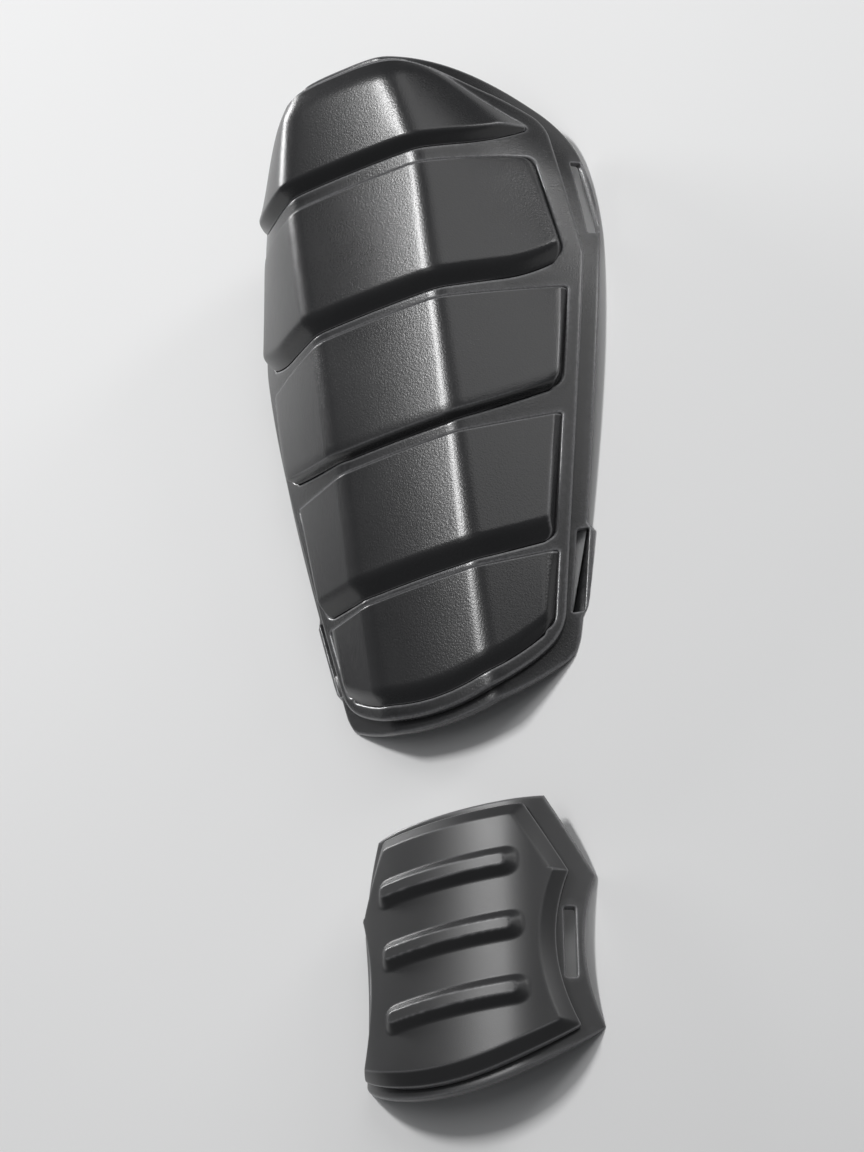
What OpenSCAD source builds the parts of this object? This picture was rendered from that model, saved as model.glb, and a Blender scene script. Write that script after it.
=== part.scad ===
// Gauntlet: a forearm guard of five overlapping lames in one rigid frame, and its hand guard.
// Both pieces lie rims down on z = 0, the elbow end towards +Y and the outer face up.
// The origin is the bottom centre of the box round both pieces.
//
// Most pieces are curved shells. Each is laid out flat first, as u (the way round the
// section from the ridge) and y (the way up from the wrist edge), and then wrapped on
// the surface of its guard at a height h above the outer face of the base shell.

/* [Forearm base shell] */
// Length of the shell from the wrist edge to the elbow edge
forearm_len = 244; // [232:1:256]
// Wall of the shell
base_wall = 3; // [2.4:0.1:3.6]
// Half width at the wrist, measured round the shell
wrist_w = 46.9; // [44:0.2:50]
// Half width gained for each millimetre towards the elbow
side_taper = 0.221; // [0.205:0.001:0.24]
// Where the sides start to round in, measured down from the elbow edge
shoulder_drop = 80.6; // [76:0.1:88]
// Radius of the shoulder
shoulder_r = 93.5; // [86:0.5:110]
// Bow radius of the wrist edge
wrist_bow_r = 88; // [80:1:100]
// Half width of the straight middle of the elbow edge
elbow_flat_w = 5.6; // [3:0.1:9]
// Bow radius of the elbow edge beyond it
elbow_bow_r = 86.4; // [80:0.1:96]
// Radius of the corners at the wrist
wrist_corner_r = 14; // [10:1:20]
// Where those corners start to round in, measured up from the wrist edge
wrist_corner_y = 21; // [18:1:26]
// Chamfer round the edge of the shell
edge_chamfer = 0.9; // [0.4:0.1:1.3]

/* [Forearm section] */
// Half width of the flat centre at the wrist
centre_w = 16.3; // [15:0.1:18]
// What the flat centre gains in half width by the elbow edge
centre_gain = 7; // [5.5:0.1:8]
// Run over which the creases draw together again at the elbow edge
draw_run = 55.7; // [50:0.1:60]
// Radius of that draw
draw_r = 150; // [130:1:180]
// Turn of the flat centre on each side of the ridge, in degrees
centre_turn = 3.5; // [2:0.1:5]
// Length of the soft crease, measured round the section
crease_len = 6; // [4.5:0.1:7.5]
// Turn of the crease at the wrist, in degrees
crease_turn = 25.4; // [22:0.1:27]
// What the crease gains in turn by the elbow edge, in degrees
crease_gain = 6.8; // [5:0.1:9]
// Bend of the sides at the elbow edge, in degrees for each millimetre
side_bend = 0.94; // [0.8:0.01:1.05]
// How fast that bend dies away towards the wrist
bend_power = 3.1; // [2.6:0.1:4]
// Depth of the flat land that is trimmed on the lowest rims
rim_trim = 0.9; // [0.5:0.1:1.2]

/* [Strap slots of the forearm guard] */
// Length of each strap slot
slot_len = 29; // [26:0.5:31]
// Width of each strap slot
slot_w = 4.2; // [3.6:0.1:4.6]
// Land outside each strap slot
slot_land = 2.4; // [2:0.1:2.6]
// Lower end of the slots near the wrist
low_slot_y = 28.5; // [27:0.5:31]
// Upper end of the slots near the elbow, measured down from the elbow edge
high_slot_drop = 47.5; // [46:0.5:50]
// How far the ears round the wrist slots stand out of the edge
ear_w = 2.5; // [2.2:0.1:3]
// Length of the slope at each end of an ear
ear_slope = 3; // [2:0.1:4]
// How far an ear runs past the ends of its slot
ear_past = 2.1; // [1.6:0.1:2.8]

/* [Frame] */
// Height of the frame above the shell
frame_h = 3; // [2.6:0.1:3.6]
// Flange of the shell beside the frame, at the wrist
flange_w = 5.8; // [5:0.1:6.4]
// What that flange gains by the shoulder
flange_gain = 1.2; // [0.8:0.1:2]
// Run over which the flange widens beside the strap slots near the elbow
slot_flange_run = 14; // [10:1:18]
// Extra flange beside those strap slots
slot_flange = 4.4; // [3.8:0.1:4.8]
// Flange below the frame at the wrist edge
wrist_flange = 4.2; // [3:0.1:4.6]
// Flange above the frame at the elbow edge
elbow_flange = 3; // [2.4:0.1:3.6]
// Where the elbow arch starts, measured round the shell from the ridge
arch_start = 20; // [16:1:24]
// Run of the elbow arch on each side
arch_run = 30; // [26:1:34]
// Extra flange above the frame on both sides of the elbow arch
arch_flange = 5.4; // [4.6:0.1:6.2]
// Bow radius of the frame's wrist edge
frame_bow_r = 70; // [62:1:74]
// Width of the frame beside the lames
border_w = 4.6; // [4:0.1:5]
// Width of the frame above the elbow lame
elbow_border = 1.3; // [1:0.1:2]
// Width of the frame below the wrist lame
wrist_border = 7.1; // [6:0.1:8]
// Where the frame's wrist corners start to round in, above its wrist edge
frame_corner_y = 24; // [20:1:28]
// Run of the bevel round the frame
frame_bevel = 1.4; // [0.8:0.1:1.8]

/* [Lames] */
// Lengths of the lames in proportion to each other, elbow to wrist; they fill the frame's run
lame_parts = [32.6, 41.7, 43, 39.7, 37.1]; // [20:0.1:45]
// Run of the slope under each lip, elbow to wrist
under_run = [3.8, 5.2, 1.9, 6.1]; // [1.6:0.1:7]
// Width of the frame's strip below each lame, elbow to wrist
strip_w = [5.7, 3.8, 4.6, 2.9]; // [2:0.1:6]
// Height of the lips above the frame
lip_h = 3.8; // [3.4:0.1:4.4]
// Height of a lame's top edge above the frame
top_step = 1.1; // [0.7:0.1:1.4]
// Height of the wrist lame's lower edge above the frame
wrist_step = 2.6; // [1.8:0.1:3.4]
// Run of the soft bevel under that edge
wrist_run = 5; // [3:0.1:7]
// Bow radius of the wrist lame's lower edge
lame_bow_r = 60; // [56:1:66]
// How far the foot of a lame lies below the top of the frame
lame_sink = 0.3; // [0.2:0.1:0.5]
// Rounding of the lips
lip_round = 1.6; // [1:0.1:2]
// How much narrower each lame is at its lip than at its top, each side
lame_draw = 0.8; // [0.4:0.1:1.6]
// Run of the bevel at the lames' side ends
end_bevel = 2.4; // [2:0.1:3]
// Slant of each lower edge towards the elbow beyond the centre, for each millimetre round
lip_rake = [0, 0.015, 0.155, 0.085]; // [0:0.005:0.2]
// Slant of each upper edge in the same way, from the second lame on
top_rake = [-0.035, -0.03, 0.045, 0.05]; // [-0.06:0.005:0.1]
// How far each lower edge curls up at the lame's side ends
lip_curl = [4.5, 6.5, 1, 0.5]; // [0:0.1:8]
// Run of that curl
curl_run = 24; // [20:1:28]
// Rounding of the lower corners
lame_corner = 3.6; // [2:0.1:5]
// How much shorter the elbow lame is at each side end
tip_inset = 5.8; // [4:0.1:7.5]
// Where the elbow lame's upper edge starts to drop towards those ends, measured round the shell
tip_start = 28; // [24:1:32]
// Run of that drop
tip_run = 32; // [28:1:36]
// Depth of that drop
tip_drop = 6.6; // [5:0.1:8]
// Run of the dome at the elbow lame's upper edge
dome_run = 6.6; // [5:0.1:8]
// Height of the dome's start above the frame
dome_h = 3; // [2.4:0.1:3.4]
// Wall of the lames
lame_wall = 2.2; // [1.6:0.1:2.6]

/* [Fits] */
// Gap between a lame and the frame round it
fit_gap = 0.3; // [0.2:0.05:0.4]
// Gap under the pieces that seat on a shell
seat_gap = 0.12; // [0.08:0.01:0.2]
// Clearance of the screws in the shells, on the diameter
screw_clear = 0.5; // [0.3:0.1:0.8]
// Clearance of the screws in their pilot holes, on the diameter
pilot_clear = 0.1; // [0.06:0.02:0.2]

/* [Screws] */
// Diameter of the screws
screw_d = 2.2; // [2:0.1:2.5]
// Diameter of the screw heads
head_d = 5; // [4.6:0.1:5.4]
// Height of the screw heads
head_h = 1.2; // [1:0.1:1.4]
// How far the screws reach into a lame or the hand plate
lame_bite = 3; // [2.4:0.1:3.2]
// How far the screws reach into the frame
frame_bite = 2; // [1.6:0.1:2.2]
// Distance of the lame screws from the ridge
lame_screw_u = 11; // [8:0.5:13]
// Distance of the hand plate's screws from its middle
hand_screw_u = 25; // [20:0.5:28]
// Distance between the upper and the lower screws of the hand plate
hand_screw_pitch = 58; // [48:1:62]
// Wall of the screw bosses
boss_wall = 1.6; // [1.2:0.1:2]
// How far the bosses stay below the outer face
boss_drop = 1; // [0.8:0.1:1.4]

/* [Hand guard] */
// Radius of the hand guard's shell in its middle
hand_r = 100; // [90:1:120]
// Half width of that middle, measured round the shell
hand_flat_w = 20; // [16:0.5:24]
// Radius of the sides beyond it
hand_side_r = 43; // [38:0.5:50]
// Wall of the hand guard's shell
hand_wall = 3; // [2.4:0.1:3.6]
// Length of the shell above its centre
hand_top = 47.2; // [45:0.1:50]
// Length of the shell below its centre
hand_bottom = 51.6; // [50:0.1:54]
// Half width at the top edge
hand_top_w = 33.4; // [31:0.1:36]
// Half width at the upper points
hand_point_w = 49.8; // [48:0.1:52]
// Height of the upper points above the centre
hand_point_y = 19; // [17:0.5:21]
// Half width at the waist
hand_waist_w = 45.3; // [44:0.1:47]
// Height of the waist above the centre
hand_waist_y = -5; // [-7:0.5:-3]
// Bow radius of the lower edge
hand_bow_r = 76.5; // [72:0.5:84]
// Flange of the shell beside the plate
hand_flange = 9.6; // [9.2:0.1:10]
// Flange beside the plate at its top corners
hand_corner_flange = 6.7; // [6:0.1:8]
// Flange above and below the plate
hand_end_flange = 3.3; // [2.4:0.1:4]
// Height of the plate
plate_h = 5; // [4.4:0.1:5.6]
// Run of the plate's bevel
plate_bevel = 4.8; // [4:0.1:5.6]
// Height of the bevel's foot
plate_step = 2.2; // [1.4:0.1:2.6]
// Length of the hand guard's strap slots
hand_slot_len = 24.5; // [22:0.5:26]
// Width of the hand guard's strap slots
hand_slot_w = 3.9; // [3.4:0.1:4.4]
// Land outside them
hand_slot_land = 2.9; // [2.4:0.1:3.2]
// Distance of the middle rib below the centre
rib_drop = 0; // [0:0.1:3]
// Number of raised ribs
rib_count = 3; // [1:1:3]
// Distance from rib to rib
rib_pitch = 22.6; // [22:0.2:25]
// How far each next rib sits to the side of the one above
rib_step = 1.2; // [0:0.1:2]
// Length of the flat top of a rib
rib_len = 42; // [38:1:50]
// Width of the flat top of a rib
rib_w = 3.6; // [3:0.1:5]
// Height of a rib
rib_h = 2.8; // [2:0.1:3.4]
// Run of a rib's sides
rib_run = 3.2; // [2.6:0.1:4]

/* [Place of the hand guard] */
// Distance from the forearm guard's wrist edge to the hand guard's centre
hand_drop = 82.4; // [78:0.2:90]
// How far the hand guard lies to the side
hand_side = -0.5; // [-10:0.5:10]
// Turn of the hand guard in plan, in degrees
hand_turn = -2.8; // [-6:0.1:6]

/* [Hidden] */

charcoal = [0.17, 0.17, 0.18];
graphite = [0.22, 0.22, 0.23];
screw_grey = [0.45, 0.45, 0.47];
over = 1;          // what a cut runs past a face
lip_fall = 0.32;   // how far a rounded lip lies below its sharp corner, as a share of its rounding
edge_soft = 0.2;   // how far an outer edge drops
far = 400;         // what a cut runs when it goes right out of the part
weld = 0.2;        // how far two shapes of one piece run into each other
round_facets = 24; // facets of the screws and their holes
centre_cols = 2;
crease_cols = 3;
side_cols = 5;
first_w = 40;      // a first guess at a row's half width, and how often it is made better
side_tries = 6;
hand_side_cols = 8;
low_rows = 6;
dome_at = [[0.35, 0.85], [0.7, 0.5], [1, 0.1]];  // how the dome falls: shares of its run and its height

function mix(a, b, f) = a + (b - a)*f;
function clamp01(f) = max(0, min(1, f));
function smooth(f) = let(c = clamp01(f)) c*c*(3 - 2*c);
function bow(u, r) = u*u/(2*r);

// Section of the forearm guard: [x, z, slope] after an arc that turns down by `turn`
function arc_end(p, len, turn) =
    abs(turn) < 0.001
    ? [p[0] + len*cos(p[2]), p[1] - len*sin(p[2]), p[2]]
    : let(r = len/(turn*PI/180), b = p[2] + turn)
      [p[0] + r*(sin(b) - sin(p[2])), p[1] + r*(cos(b) - cos(p[2])), b];
function centre_at(y) =
    centre_w + centre_gain*y/forearm_len - bow(max(0, y - forearm_len + draw_run), draw_r);
function crease_at(y) = crease_turn + crease_gain*y/forearm_len;
function bend_at(y) = side_bend*pow(clamp01(y/forearm_len), bend_power);
function section(u, y) =
    let(c = centre_at(y), n = min(u, c), m = min(max(u - c, 0), crease_len),
        s = max(u - c - crease_len, 0),
        a = arc_end([0, 0, 0], n, centre_turn*n/c),
        b = arc_end(a, m, crease_at(y)*m/crease_len))
    arc_end(b, s, bend_at(y)*s);
function shell_pt(u, y, h) =
    let(s = section(abs(u), y)) [sign(u)*(s[0] + h*sin(s[2])), y, s[1] + h*cos(s[2])];

// Outline of the base shell, its frame and the lames, laid out flat
shoulder_y = forearm_len - shoulder_drop;
function rounded_in(y) =
    bow(max(0, y - shoulder_y), shoulder_r) + bow(max(0, wrist_corner_y - y), wrist_corner_r);
function plain_side(y) = wrist_w + side_taper*y - rounded_in(y);
slot_ear = [low_slot_y - ear_past, low_slot_y + slot_len + ear_past];
function ear_at(y) = ear_w*clamp01((y - slot_ear[0])/ear_slope)*clamp01((slot_ear[1] - y)/ear_slope);
base_side = function(y) plain_side(y) + ear_at(y);
base_low = function(u) bow(u, wrist_bow_r);
base_high = function(u) forearm_len - bow(max(0, abs(u) - elbow_flat_w), elbow_bow_r);

function flange_at(y) =
    flange_w + flange_gain*min(y, shoulder_y)/shoulder_y + slot_flange*smooth((y - shoulder_y)/slot_flange_run);
frame_side = function(y)
    plain_side(y) - flange_at(y) - bow(max(0, wrist_flange + frame_corner_y - y), wrist_corner_r);
frame_low = function(u) wrist_flange + bow(u, frame_bow_r);
frame_high = function(u)
    base_high(u) - elbow_flange - arch_flange*smooth((abs(u) - arch_start)/arch_run);

// The lames lie in a chain from the elbow to the wrist, each with its slope and strip below it
lame_count = len(lame_parts);
function sum(v, n) = n == 0 ? 0 : v[n - 1] + sum(v, n - 1);
elbow_top = base_high(centre_at(forearm_len)) - elbow_flange - elbow_border;
wrist_end = wrist_flange + wrist_border;
joints_run = sum(under_run, lame_count - 1) + sum(strip_w, lame_count - 1);
lame_scale = (elbow_top - wrist_end - joints_run)/sum(lame_parts, lame_count);
function lame_len(i) = lame_scale*lame_parts[i];
function lame_top(i) =
    elbow_top - lame_scale*sum(lame_parts, i) - sum(under_run, i) - sum(strip_w, i);
function lame_foot(i) = lame_top(i) - lame_len(i) - under_run[i];
function slant(u, y, rake) = rake*max(0, abs(u) - centre_at(y));
function lame_end(i) = i == lame_count - 1 ? wrist_end : lame_foot(i);
function lame_end_w(i) = frame_side(lame_end(i)) - border_w - (i == 0 ? tip_inset : 0) - lame_draw;
function curl(u, i) = lip_curl[i]*pow(clamp01(1 - (lame_end_w(i) - abs(u))/curl_run), 2);
function lame_low(i) = i == lame_count - 1
    ? function(u) wrist_end + bow(u, lame_bow_r)
    : function(u) lame_foot(i) + slant(u, lame_foot(i), lip_rake[i]) + curl(u, i);
function lame_high(i) = i == 0
    ? function(u) frame_high(u) - elbow_border - tip_drop*smooth((abs(u) - tip_start)/tip_run)
    : function(u) lame_top(i) + slant(u, lame_top(i), top_rake[i - 1]);
function lame_side(i) = let(corner = lame_low(i)(lame_end_w(i)) + lame_corner) function(y)
    frame_side(y) - border_w - (i == 0 ? tip_inset : 0) - bow(max(0, corner - y), lame_corner)
    - lame_draw*clamp01((lame_top(i) - y)/(lame_top(i) - lame_end(i)));

// A patch is a grid of [u, y]: each row lies at low + r[0] + (high - low)*r[1]
function row_y(r, u, low, high) = low(u) + r[0] + (high(u) - low(u))*r[1];
function side_w(r, low, high, side, w, left) =
    left == 0 ? w : side_w(r, low, high, side, side(row_y(r, w, low, high)), left - 1);
function forearm_cols(y, w, bevel) =
    let(c = centre_at(y), e = c + crease_len)
    concat([for (k = [0:centre_cols]) c*k/centre_cols],
           [for (k = [1:crease_cols]) c + crease_len*k/crease_cols],
           [for (k = [1:side_cols]) mix(e, w - bevel, k/side_cols)], [w]);
function hand_cols(y, w, bevel) =
    concat([for (k = [0:hand_side_cols]) (w - bevel)*k/hand_side_cols], [w]);
function patch(rows, low, high, side, cols, bevel) =
    [for (r = rows)
        let(w = side_w(r, low, high, side, side(row_y(r, first_w, low, high)), side_tries),
            first = cols(row_y(r, w, low, high), w, bevel), last = len(first) - 1)
        [for (j = [-last:last])
            let(y = row_y(r, first[abs(j)], low, high), u = sign(j)*cols(y, w, bevel)[abs(j)])
            [u, row_y(r, u, low, high)]]];
// Heights over a grid: one for each row, held down to `edge` along the side columns
function heights(row_h, cols, edge) =
    [for (h = row_h) [for (j = [0:cols - 1]) j == 0 || j == cols - 1 ? min(h, edge) : h]];
// Heights of a hollow underside: seated on a land all round, a wall below the top elsewhere
function hollow(top, wall, seat) =
    let(m = len(top) - 1, n = len(top[0]) - 1)
    [for (i = [0:m]) [for (j = [0:n])
        min(i, m - i, j, n - j) < 2 ? seat : max(seat, top[i][j] - wall)]];
function level(grid, h) = [for (row = grid) [for (p = row) h]];
function wrap(grid, h, point) =
    [for (i = [0:len(grid) - 1]) [for (j = [0:len(grid[0]) - 1])
        point(grid[i][j][0], grid[i][j][1], h[i][j])]];

// Closed solid between two grids of points of the same size
module skin(top, low) {
    nr = len(top);
    nc = len(top[0]);
    n = nr*nc;
    rim = concat([for (j = [0:nc - 2]) j], [for (i = [0:nr - 2]) i*nc + nc - 1],
                 [for (j = [nc - 1:-1:1]) (nr - 1)*nc + j], [for (i = [nr - 1:-1:1]) i*nc]);
    faces = concat(
        [for (i = [0:nr - 2], j = [0:nc - 2]) let(a = i*nc + j)
            each [[a, a + nc, a + nc + 1], [a, a + nc + 1, a + 1]]],
        [for (i = [0:nr - 2], j = [0:nc - 2]) let(a = n + i*nc + j)
            each [[a, a + nc + 1, a + nc], [a, a + 1, a + nc + 1]]],
        [for (k = [0:len(rim) - 1]) let(a = rim[k], b = rim[(k + 1)%len(rim)])
            each [[a, b, n + b], [a, n + b, n + a]]]);
    polyhedron([for (row = top) each row, for (row = low) each row], faces, convexity = 8);
}

// The guards stand on their rims: the pitch levels the rim, the lift brings it to z = 0
level_low = 0.2*forearm_len;
level_high = 0.75*forearm_len;
function rim_z(y) = shell_pt(plain_side(y), y, -base_wall)[2];
pitch = atan((rim_z(level_low) - rim_z(level_high))/(level_high - level_low));
lift = -(level_low*sin(pitch) + rim_z(level_low)*cos(pitch)) - rim_trim;
function forearm_free(u, y, h) =
    let(p = shell_pt(u, y, h))
    [p[0], p[1]*cos(pitch) - p[2]*sin(pitch), lift + p[1]*sin(pitch) + p[2]*cos(pitch)];

// Outline of the hand guard, laid out flat, and its place
function waist(y, point_w, waist_w, point_y) =
    waist_w + (point_w - waist_w)*pow((y - hand_waist_y)/(point_y - hand_waist_y), 2);
function hand_side_at(y, inset, top_inset, end_inset) =
    let(low_w = hand_point_w - inset, py = hand_point_y)
    y > py
    ? mix(low_w, hand_top_w - top_inset, (y - py)/(hand_top - end_inset - py))
    : waist(y, low_w, hand_waist_w - inset, py);
hand_base_side = function(y) hand_side_at(y, 0, 0, 0);
hand_low = function(u) bow(u, hand_bow_r) - hand_bottom;
hand_high = function(u) hand_top;
plate_side = function(y) hand_side_at(y, hand_flange, hand_corner_flange, hand_end_flange);
plate_low = function(u) bow(u, hand_bow_r - hand_flange) - hand_bottom + hand_end_flange;
plate_high = function(u) hand_top - hand_end_flange;
function deg(len, r) = len/r*180/PI;
function hand_section(u) =
    let(n = min(u, hand_flat_w), s = u - n, a = arc_end([0, 0, 0], n, deg(n, hand_r)))
    arc_end(a, s, deg(s, hand_side_r));
function hand_shell_z(u, h) = let(s = hand_section(abs(u))) s[1] + h*cos(s[2]);
hand_rim = hand_shell_z(hand_point_w, -hand_wall);
function hand_free(u, y, h) =
    let(s = hand_section(abs(u)), x = sign(u)*(s[0] + h*sin(s[2])))
    [hand_side + x*cos(hand_turn) - y*sin(hand_turn),
     x*sin(hand_turn) + y*cos(hand_turn) - hand_drop, hand_shell_z(u, h) - hand_rim - rim_trim];

// The origin: bottom centre of the box round both base shells
base_row_at = [0.36, 0.48, 0.59, 0.68, 0.76, 0.83, 0.89, 0.95];
ear_rows = [for (y = [slot_ear[0], slot_ear[0] + ear_slope, slot_ear[1] - ear_slope, slot_ear[1]])
    [y - base_low(base_side(y)), 0]];
base_rows = concat([[0, 0], [edge_chamfer, 0]], ear_rows,
                   [for (f = base_row_at) [0, f]],
                   [[-edge_chamfer, 1], [0, 1]]);
base_grid = patch(base_rows, base_low, base_high, base_side,
                  function(y, w, b) forearm_cols(y, w, b), edge_chamfer);
point_row = (hand_point_y - hand_low(hand_point_w))/(hand_top - hand_low(hand_point_w));
hand_row_at = concat([for (k = [1:low_rows]) point_row*k/low_rows], [(point_row + 1)/2]);
function hand_rows(edge) =
    concat([[0, 0], [edge, 0]], [for (f = hand_row_at) [0, f]], [[-edge, 1], [0, 1]]);
hand_grid = patch(hand_rows(edge_chamfer), hand_low, hand_high, hand_base_side,
                  function(y, w, b) hand_cols(y, w, b), edge_chamfer);
outline_pts = concat([for (row = base_grid) for (p = row) forearm_free(p[0], p[1], -edge_chamfer)],
                     [for (row = hand_grid) for (p = row) hand_free(p[0], p[1], -edge_chamfer)]);
function middle(v) = (min(v) + max(v))/2;
origin = [middle([for (p = outline_pts) p[0]]), middle([for (p = outline_pts) p[1]]), 0];
forearm_pt = function(u, y, h) forearm_free(u, y, h) - origin;
hand_pt = function(u, y, h) hand_free(u, y, h) - origin;
forearm_col_fn = function(y, w, b) forearm_cols(y, w, b);
hand_col_fn = function(y, w, b) hand_cols(y, w, b);

// Puts a child on the forearm guard or the hand guard, square to its surface
module on_forearm(u, y, h) {
    translate(forearm_pt(u, y, h)) rotate([pitch, 0, 0])
        rotate([0, sign(u)*section(abs(u), y)[2], 0]) children();
}
module on_hand(u, y, h) {
    translate(hand_pt(u, y, h)) rotate([0, 0, hand_turn])
        rotate([0, sign(u)*hand_section(abs(u))[2], 0]) children();
}
module above_floor() {
    difference() {
        children();
        translate([-far, -far, -far]) cube([2*far, 2*far, far]);
    }
}

// Screws, and the holes that take them
lame_screw_y = [for (i = [0:lame_count - 1])
    i == lame_count - 1 ? (lame_end(i) + wrist_run + lame_top(i))/2 : lame_top(i) - lame_len(i)/2];
frame_screw_y = [for (i = [0:lame_count - 2]) lame_foot(i) - strip_w[i]/2];
function frame_screw_u(y) = frame_side(y) - border_w/2;
hand_screw_y = [-hand_screw_pitch/2, hand_screw_pitch/2];
module screw(bite, wall) {
    seat = head_h - wall;
    translate([0, 0, -wall]) cylinder(h = head_h, d = head_d, $fn = round_facets);
    translate([0, 0, seat - weld]) cylinder(h = bite - seat + weld, d = screw_d, $fn = round_facets);
}
module screw_hole(wall) {
    translate([0, 0, -wall - over])
        cylinder(h = wall + 2*over, d = screw_d + screw_clear, $fn = round_facets);
    translate([0, 0, -wall - over])
        cylinder(h = head_h + over, d = head_d + screw_clear, $fn = round_facets);
}
module pilot(bite) {
    translate([0, 0, -over])
        cylinder(h = bite + over + pilot_clear, d = screw_d + pilot_clear, $fn = round_facets);
}
module at_lame_screws() {
    for (y = lame_screw_y, s = [-1, 1]) on_forearm(s*lame_screw_u, y, 0) children();
}
module at_frame_screws() {
    for (y = frame_screw_y, s = [-1, 1]) on_forearm(s*frame_screw_u(y), y, 0) children();
}
module at_hand_screws() {
    for (y = hand_screw_y, s = [-1, 1]) on_hand(s*hand_screw_u, y, 0) children();
}

// Strap slots. Near the elbow the wall is steep, so those run sideways; the others run straight down
box_corners = [[-1, -1], [1, -1], [1, 1], [-1, 1]];
module both_sides() {
    children();
    translate([-2*origin[0], 0, 0]) mirror([1, 0, 0]) children();
}
module high_slot() {
    y = forearm_len - high_slot_drop - slot_len/2;
    u = plain_side(y) - slot_land - slot_w/2;
    pts = [for (c = box_corners) forearm_pt(u + c[0]*slot_w/2, y + c[1]*slot_len/2, -base_wall/2)];
    both_sides() rotate([90, 0, 90]) linear_extrude(far) polygon([for (p = pts) [p[1], p[2]]]);
}
module low_slot() {
    y = low_slot_y + slot_len/2;
    u = base_side(y) - slot_land - slot_w/2;
    pts = [for (c = box_corners)
        forearm_pt(u + c[0]*slot_w/2 + side_taper*c[1]*slot_len/2, y + c[1]*slot_len/2, -base_wall/2)];
    both_sides() translate([0, 0, -over]) linear_extrude(far) polygon([for (p = pts) [p[0], p[1]]]);
}
module hand_slot(s) {
    u = s*(hand_waist_w - hand_slot_land - hand_slot_w/2);
    pts = [for (c = box_corners)
        hand_pt(u + c[0]*hand_slot_w/2, hand_waist_y + c[1]*hand_slot_len/2, -hand_wall/2)];
    translate([0, 0, -over]) linear_extrude(far) polygon([for (p = pts) [p[0], p[1]]]);
}

module forearm_base() {
    rows = len(base_rows);
    cols = len(base_grid[0]);
    top_h = [for (i = [0:rows - 1]) [for (j = [0:cols - 1])
        i == 0 || i == rows - 1 || j == 0 || j == cols - 1 ? -edge_chamfer : 0]];
    color(charcoal) above_floor() difference() {
        skin(wrap(base_grid, top_h, forearm_pt), wrap(base_grid, level(base_grid, -base_wall), forearm_pt));
        high_slot();
        low_slot();
        at_lame_screws() screw_hole(base_wall);
        at_frame_screws() screw_hole(base_wall);
    }
}

// Cutter for the window of a lame: the lame's own outline with the fit gap all round
module window(i) {
    side = lame_side(i);
    rows = concat([[-fit_gap, 0], [lame_corner/2, 0], [lame_corner, 0]],
                  [for (f = [0.3, 0.5, 0.75]) [0, f]], [[fit_gap, 1]]);
    grid = patch(rows, lame_low(i), lame_high(i), function(y) side(y) + fit_gap, forearm_col_fn, end_bevel);
    skin(wrap(grid, level(grid, frame_h + over), forearm_pt), wrap(grid, level(grid, -over), forearm_pt));
}

frame_row_at = [0.08, 0.2, 0.32, 0.44, 0.56, 0.67, 0.77, 0.86, 0.94];
module forearm_frame() {
    rows = concat([[0, 0], [frame_bevel, 0]], [for (f = frame_row_at) [0, f]],
                  [[-frame_bevel, 1], [0, 1]]);
    grid = patch(rows, frame_low, frame_high, frame_side, forearm_col_fn, frame_bevel);
    edge_h = frame_h - frame_bevel;
    last = len(rows) - 1;
    top_h = heights([for (i = [0:last]) i == 0 || i == last ? edge_h : frame_h], len(grid[0]), edge_h);
    color(charcoal) difference() {
        skin(wrap(grid, top_h, forearm_pt), wrap(grid, level(grid, seat_gap), forearm_pt));
        for (i = [0:lame_count - 1]) window(i);
        at_frame_screws() pilot(frame_bite);
    }
}

// One lame: a hollow wedge that rises from its top edge to a rounded lip and slopes back below it
module lame(i) {
    last = i == lame_count - 1;
    run = last ? wrist_run : under_run[i];
    foot_h = frame_h - lame_sink;
    rise = last ? wrist_step : lip_h;
    peak = frame_h + rise;
    land = lame_wall;
    under = min(lip_round, run/3);
    steep = (peak - foot_h)/run;
    crown = frame_h + (i == 0 ? dome_h : top_step);
    back = i == 0 ? dome_run : land;
    dome = [for (f = i == 0 ? dome_at : []) [mix(-back, -land/2, f[0]), f[1]]];
    rows = concat([[0, 0], [run/3, 0], [run - under, 0], [run, 0], [run + lip_round, 0],
                   [run + 2*land, 0], [run/2, 0.5], [-back, 1]],
                  [for (d = dome) [d[0], 1]], [[0, 1]]);
    grid = patch(rows, lame_low(i), lame_high(i), lame_side(i), forearm_col_fn, end_bevel);
    row_h = concat([foot_h, foot_h + steep*run/3, peak - steep*under, peak - under*lip_fall, peak,
                    mix(peak, crown, 0.1), mix(peak, crown, 0.5), crown],
                   [for (d = dome) mix(frame_h + top_step, crown, d[1])],
                   [frame_h + top_step - edge_soft]);
    top = heights(row_h, len(grid[0]), foot_h);
    boss_h = mix(peak, crown, 0.5) - boss_drop;
    u = lame_screw_u;
    color(charcoal) difference() {
        union() {
            skin(wrap(grid, top, forearm_pt), wrap(grid, hollow(top, lame_wall, seat_gap), forearm_pt));
            for (s = [-1, 1]) on_forearm(s*u, lame_screw_y[i], seat_gap)
                cylinder(h = boss_h - seat_gap, d = screw_d + 2*boss_wall, $fn = round_facets);
        }
        for (s = [-1, 1]) on_forearm(s*u, lame_screw_y[i], 0) pilot(lame_bite);
    }
}
module elbow_lame() { lame(0); }
module upper_lame() { lame(1); }
module middle_lame() { lame(2); }
module lower_lame() { lame(3); }
module wrist_lame() { lame(4); }

module lame_screws() { color(screw_grey) at_lame_screws() screw(lame_bite, base_wall); }
module frame_screws() { color(screw_grey) at_frame_screws() screw(frame_bite, base_wall); }

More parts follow.
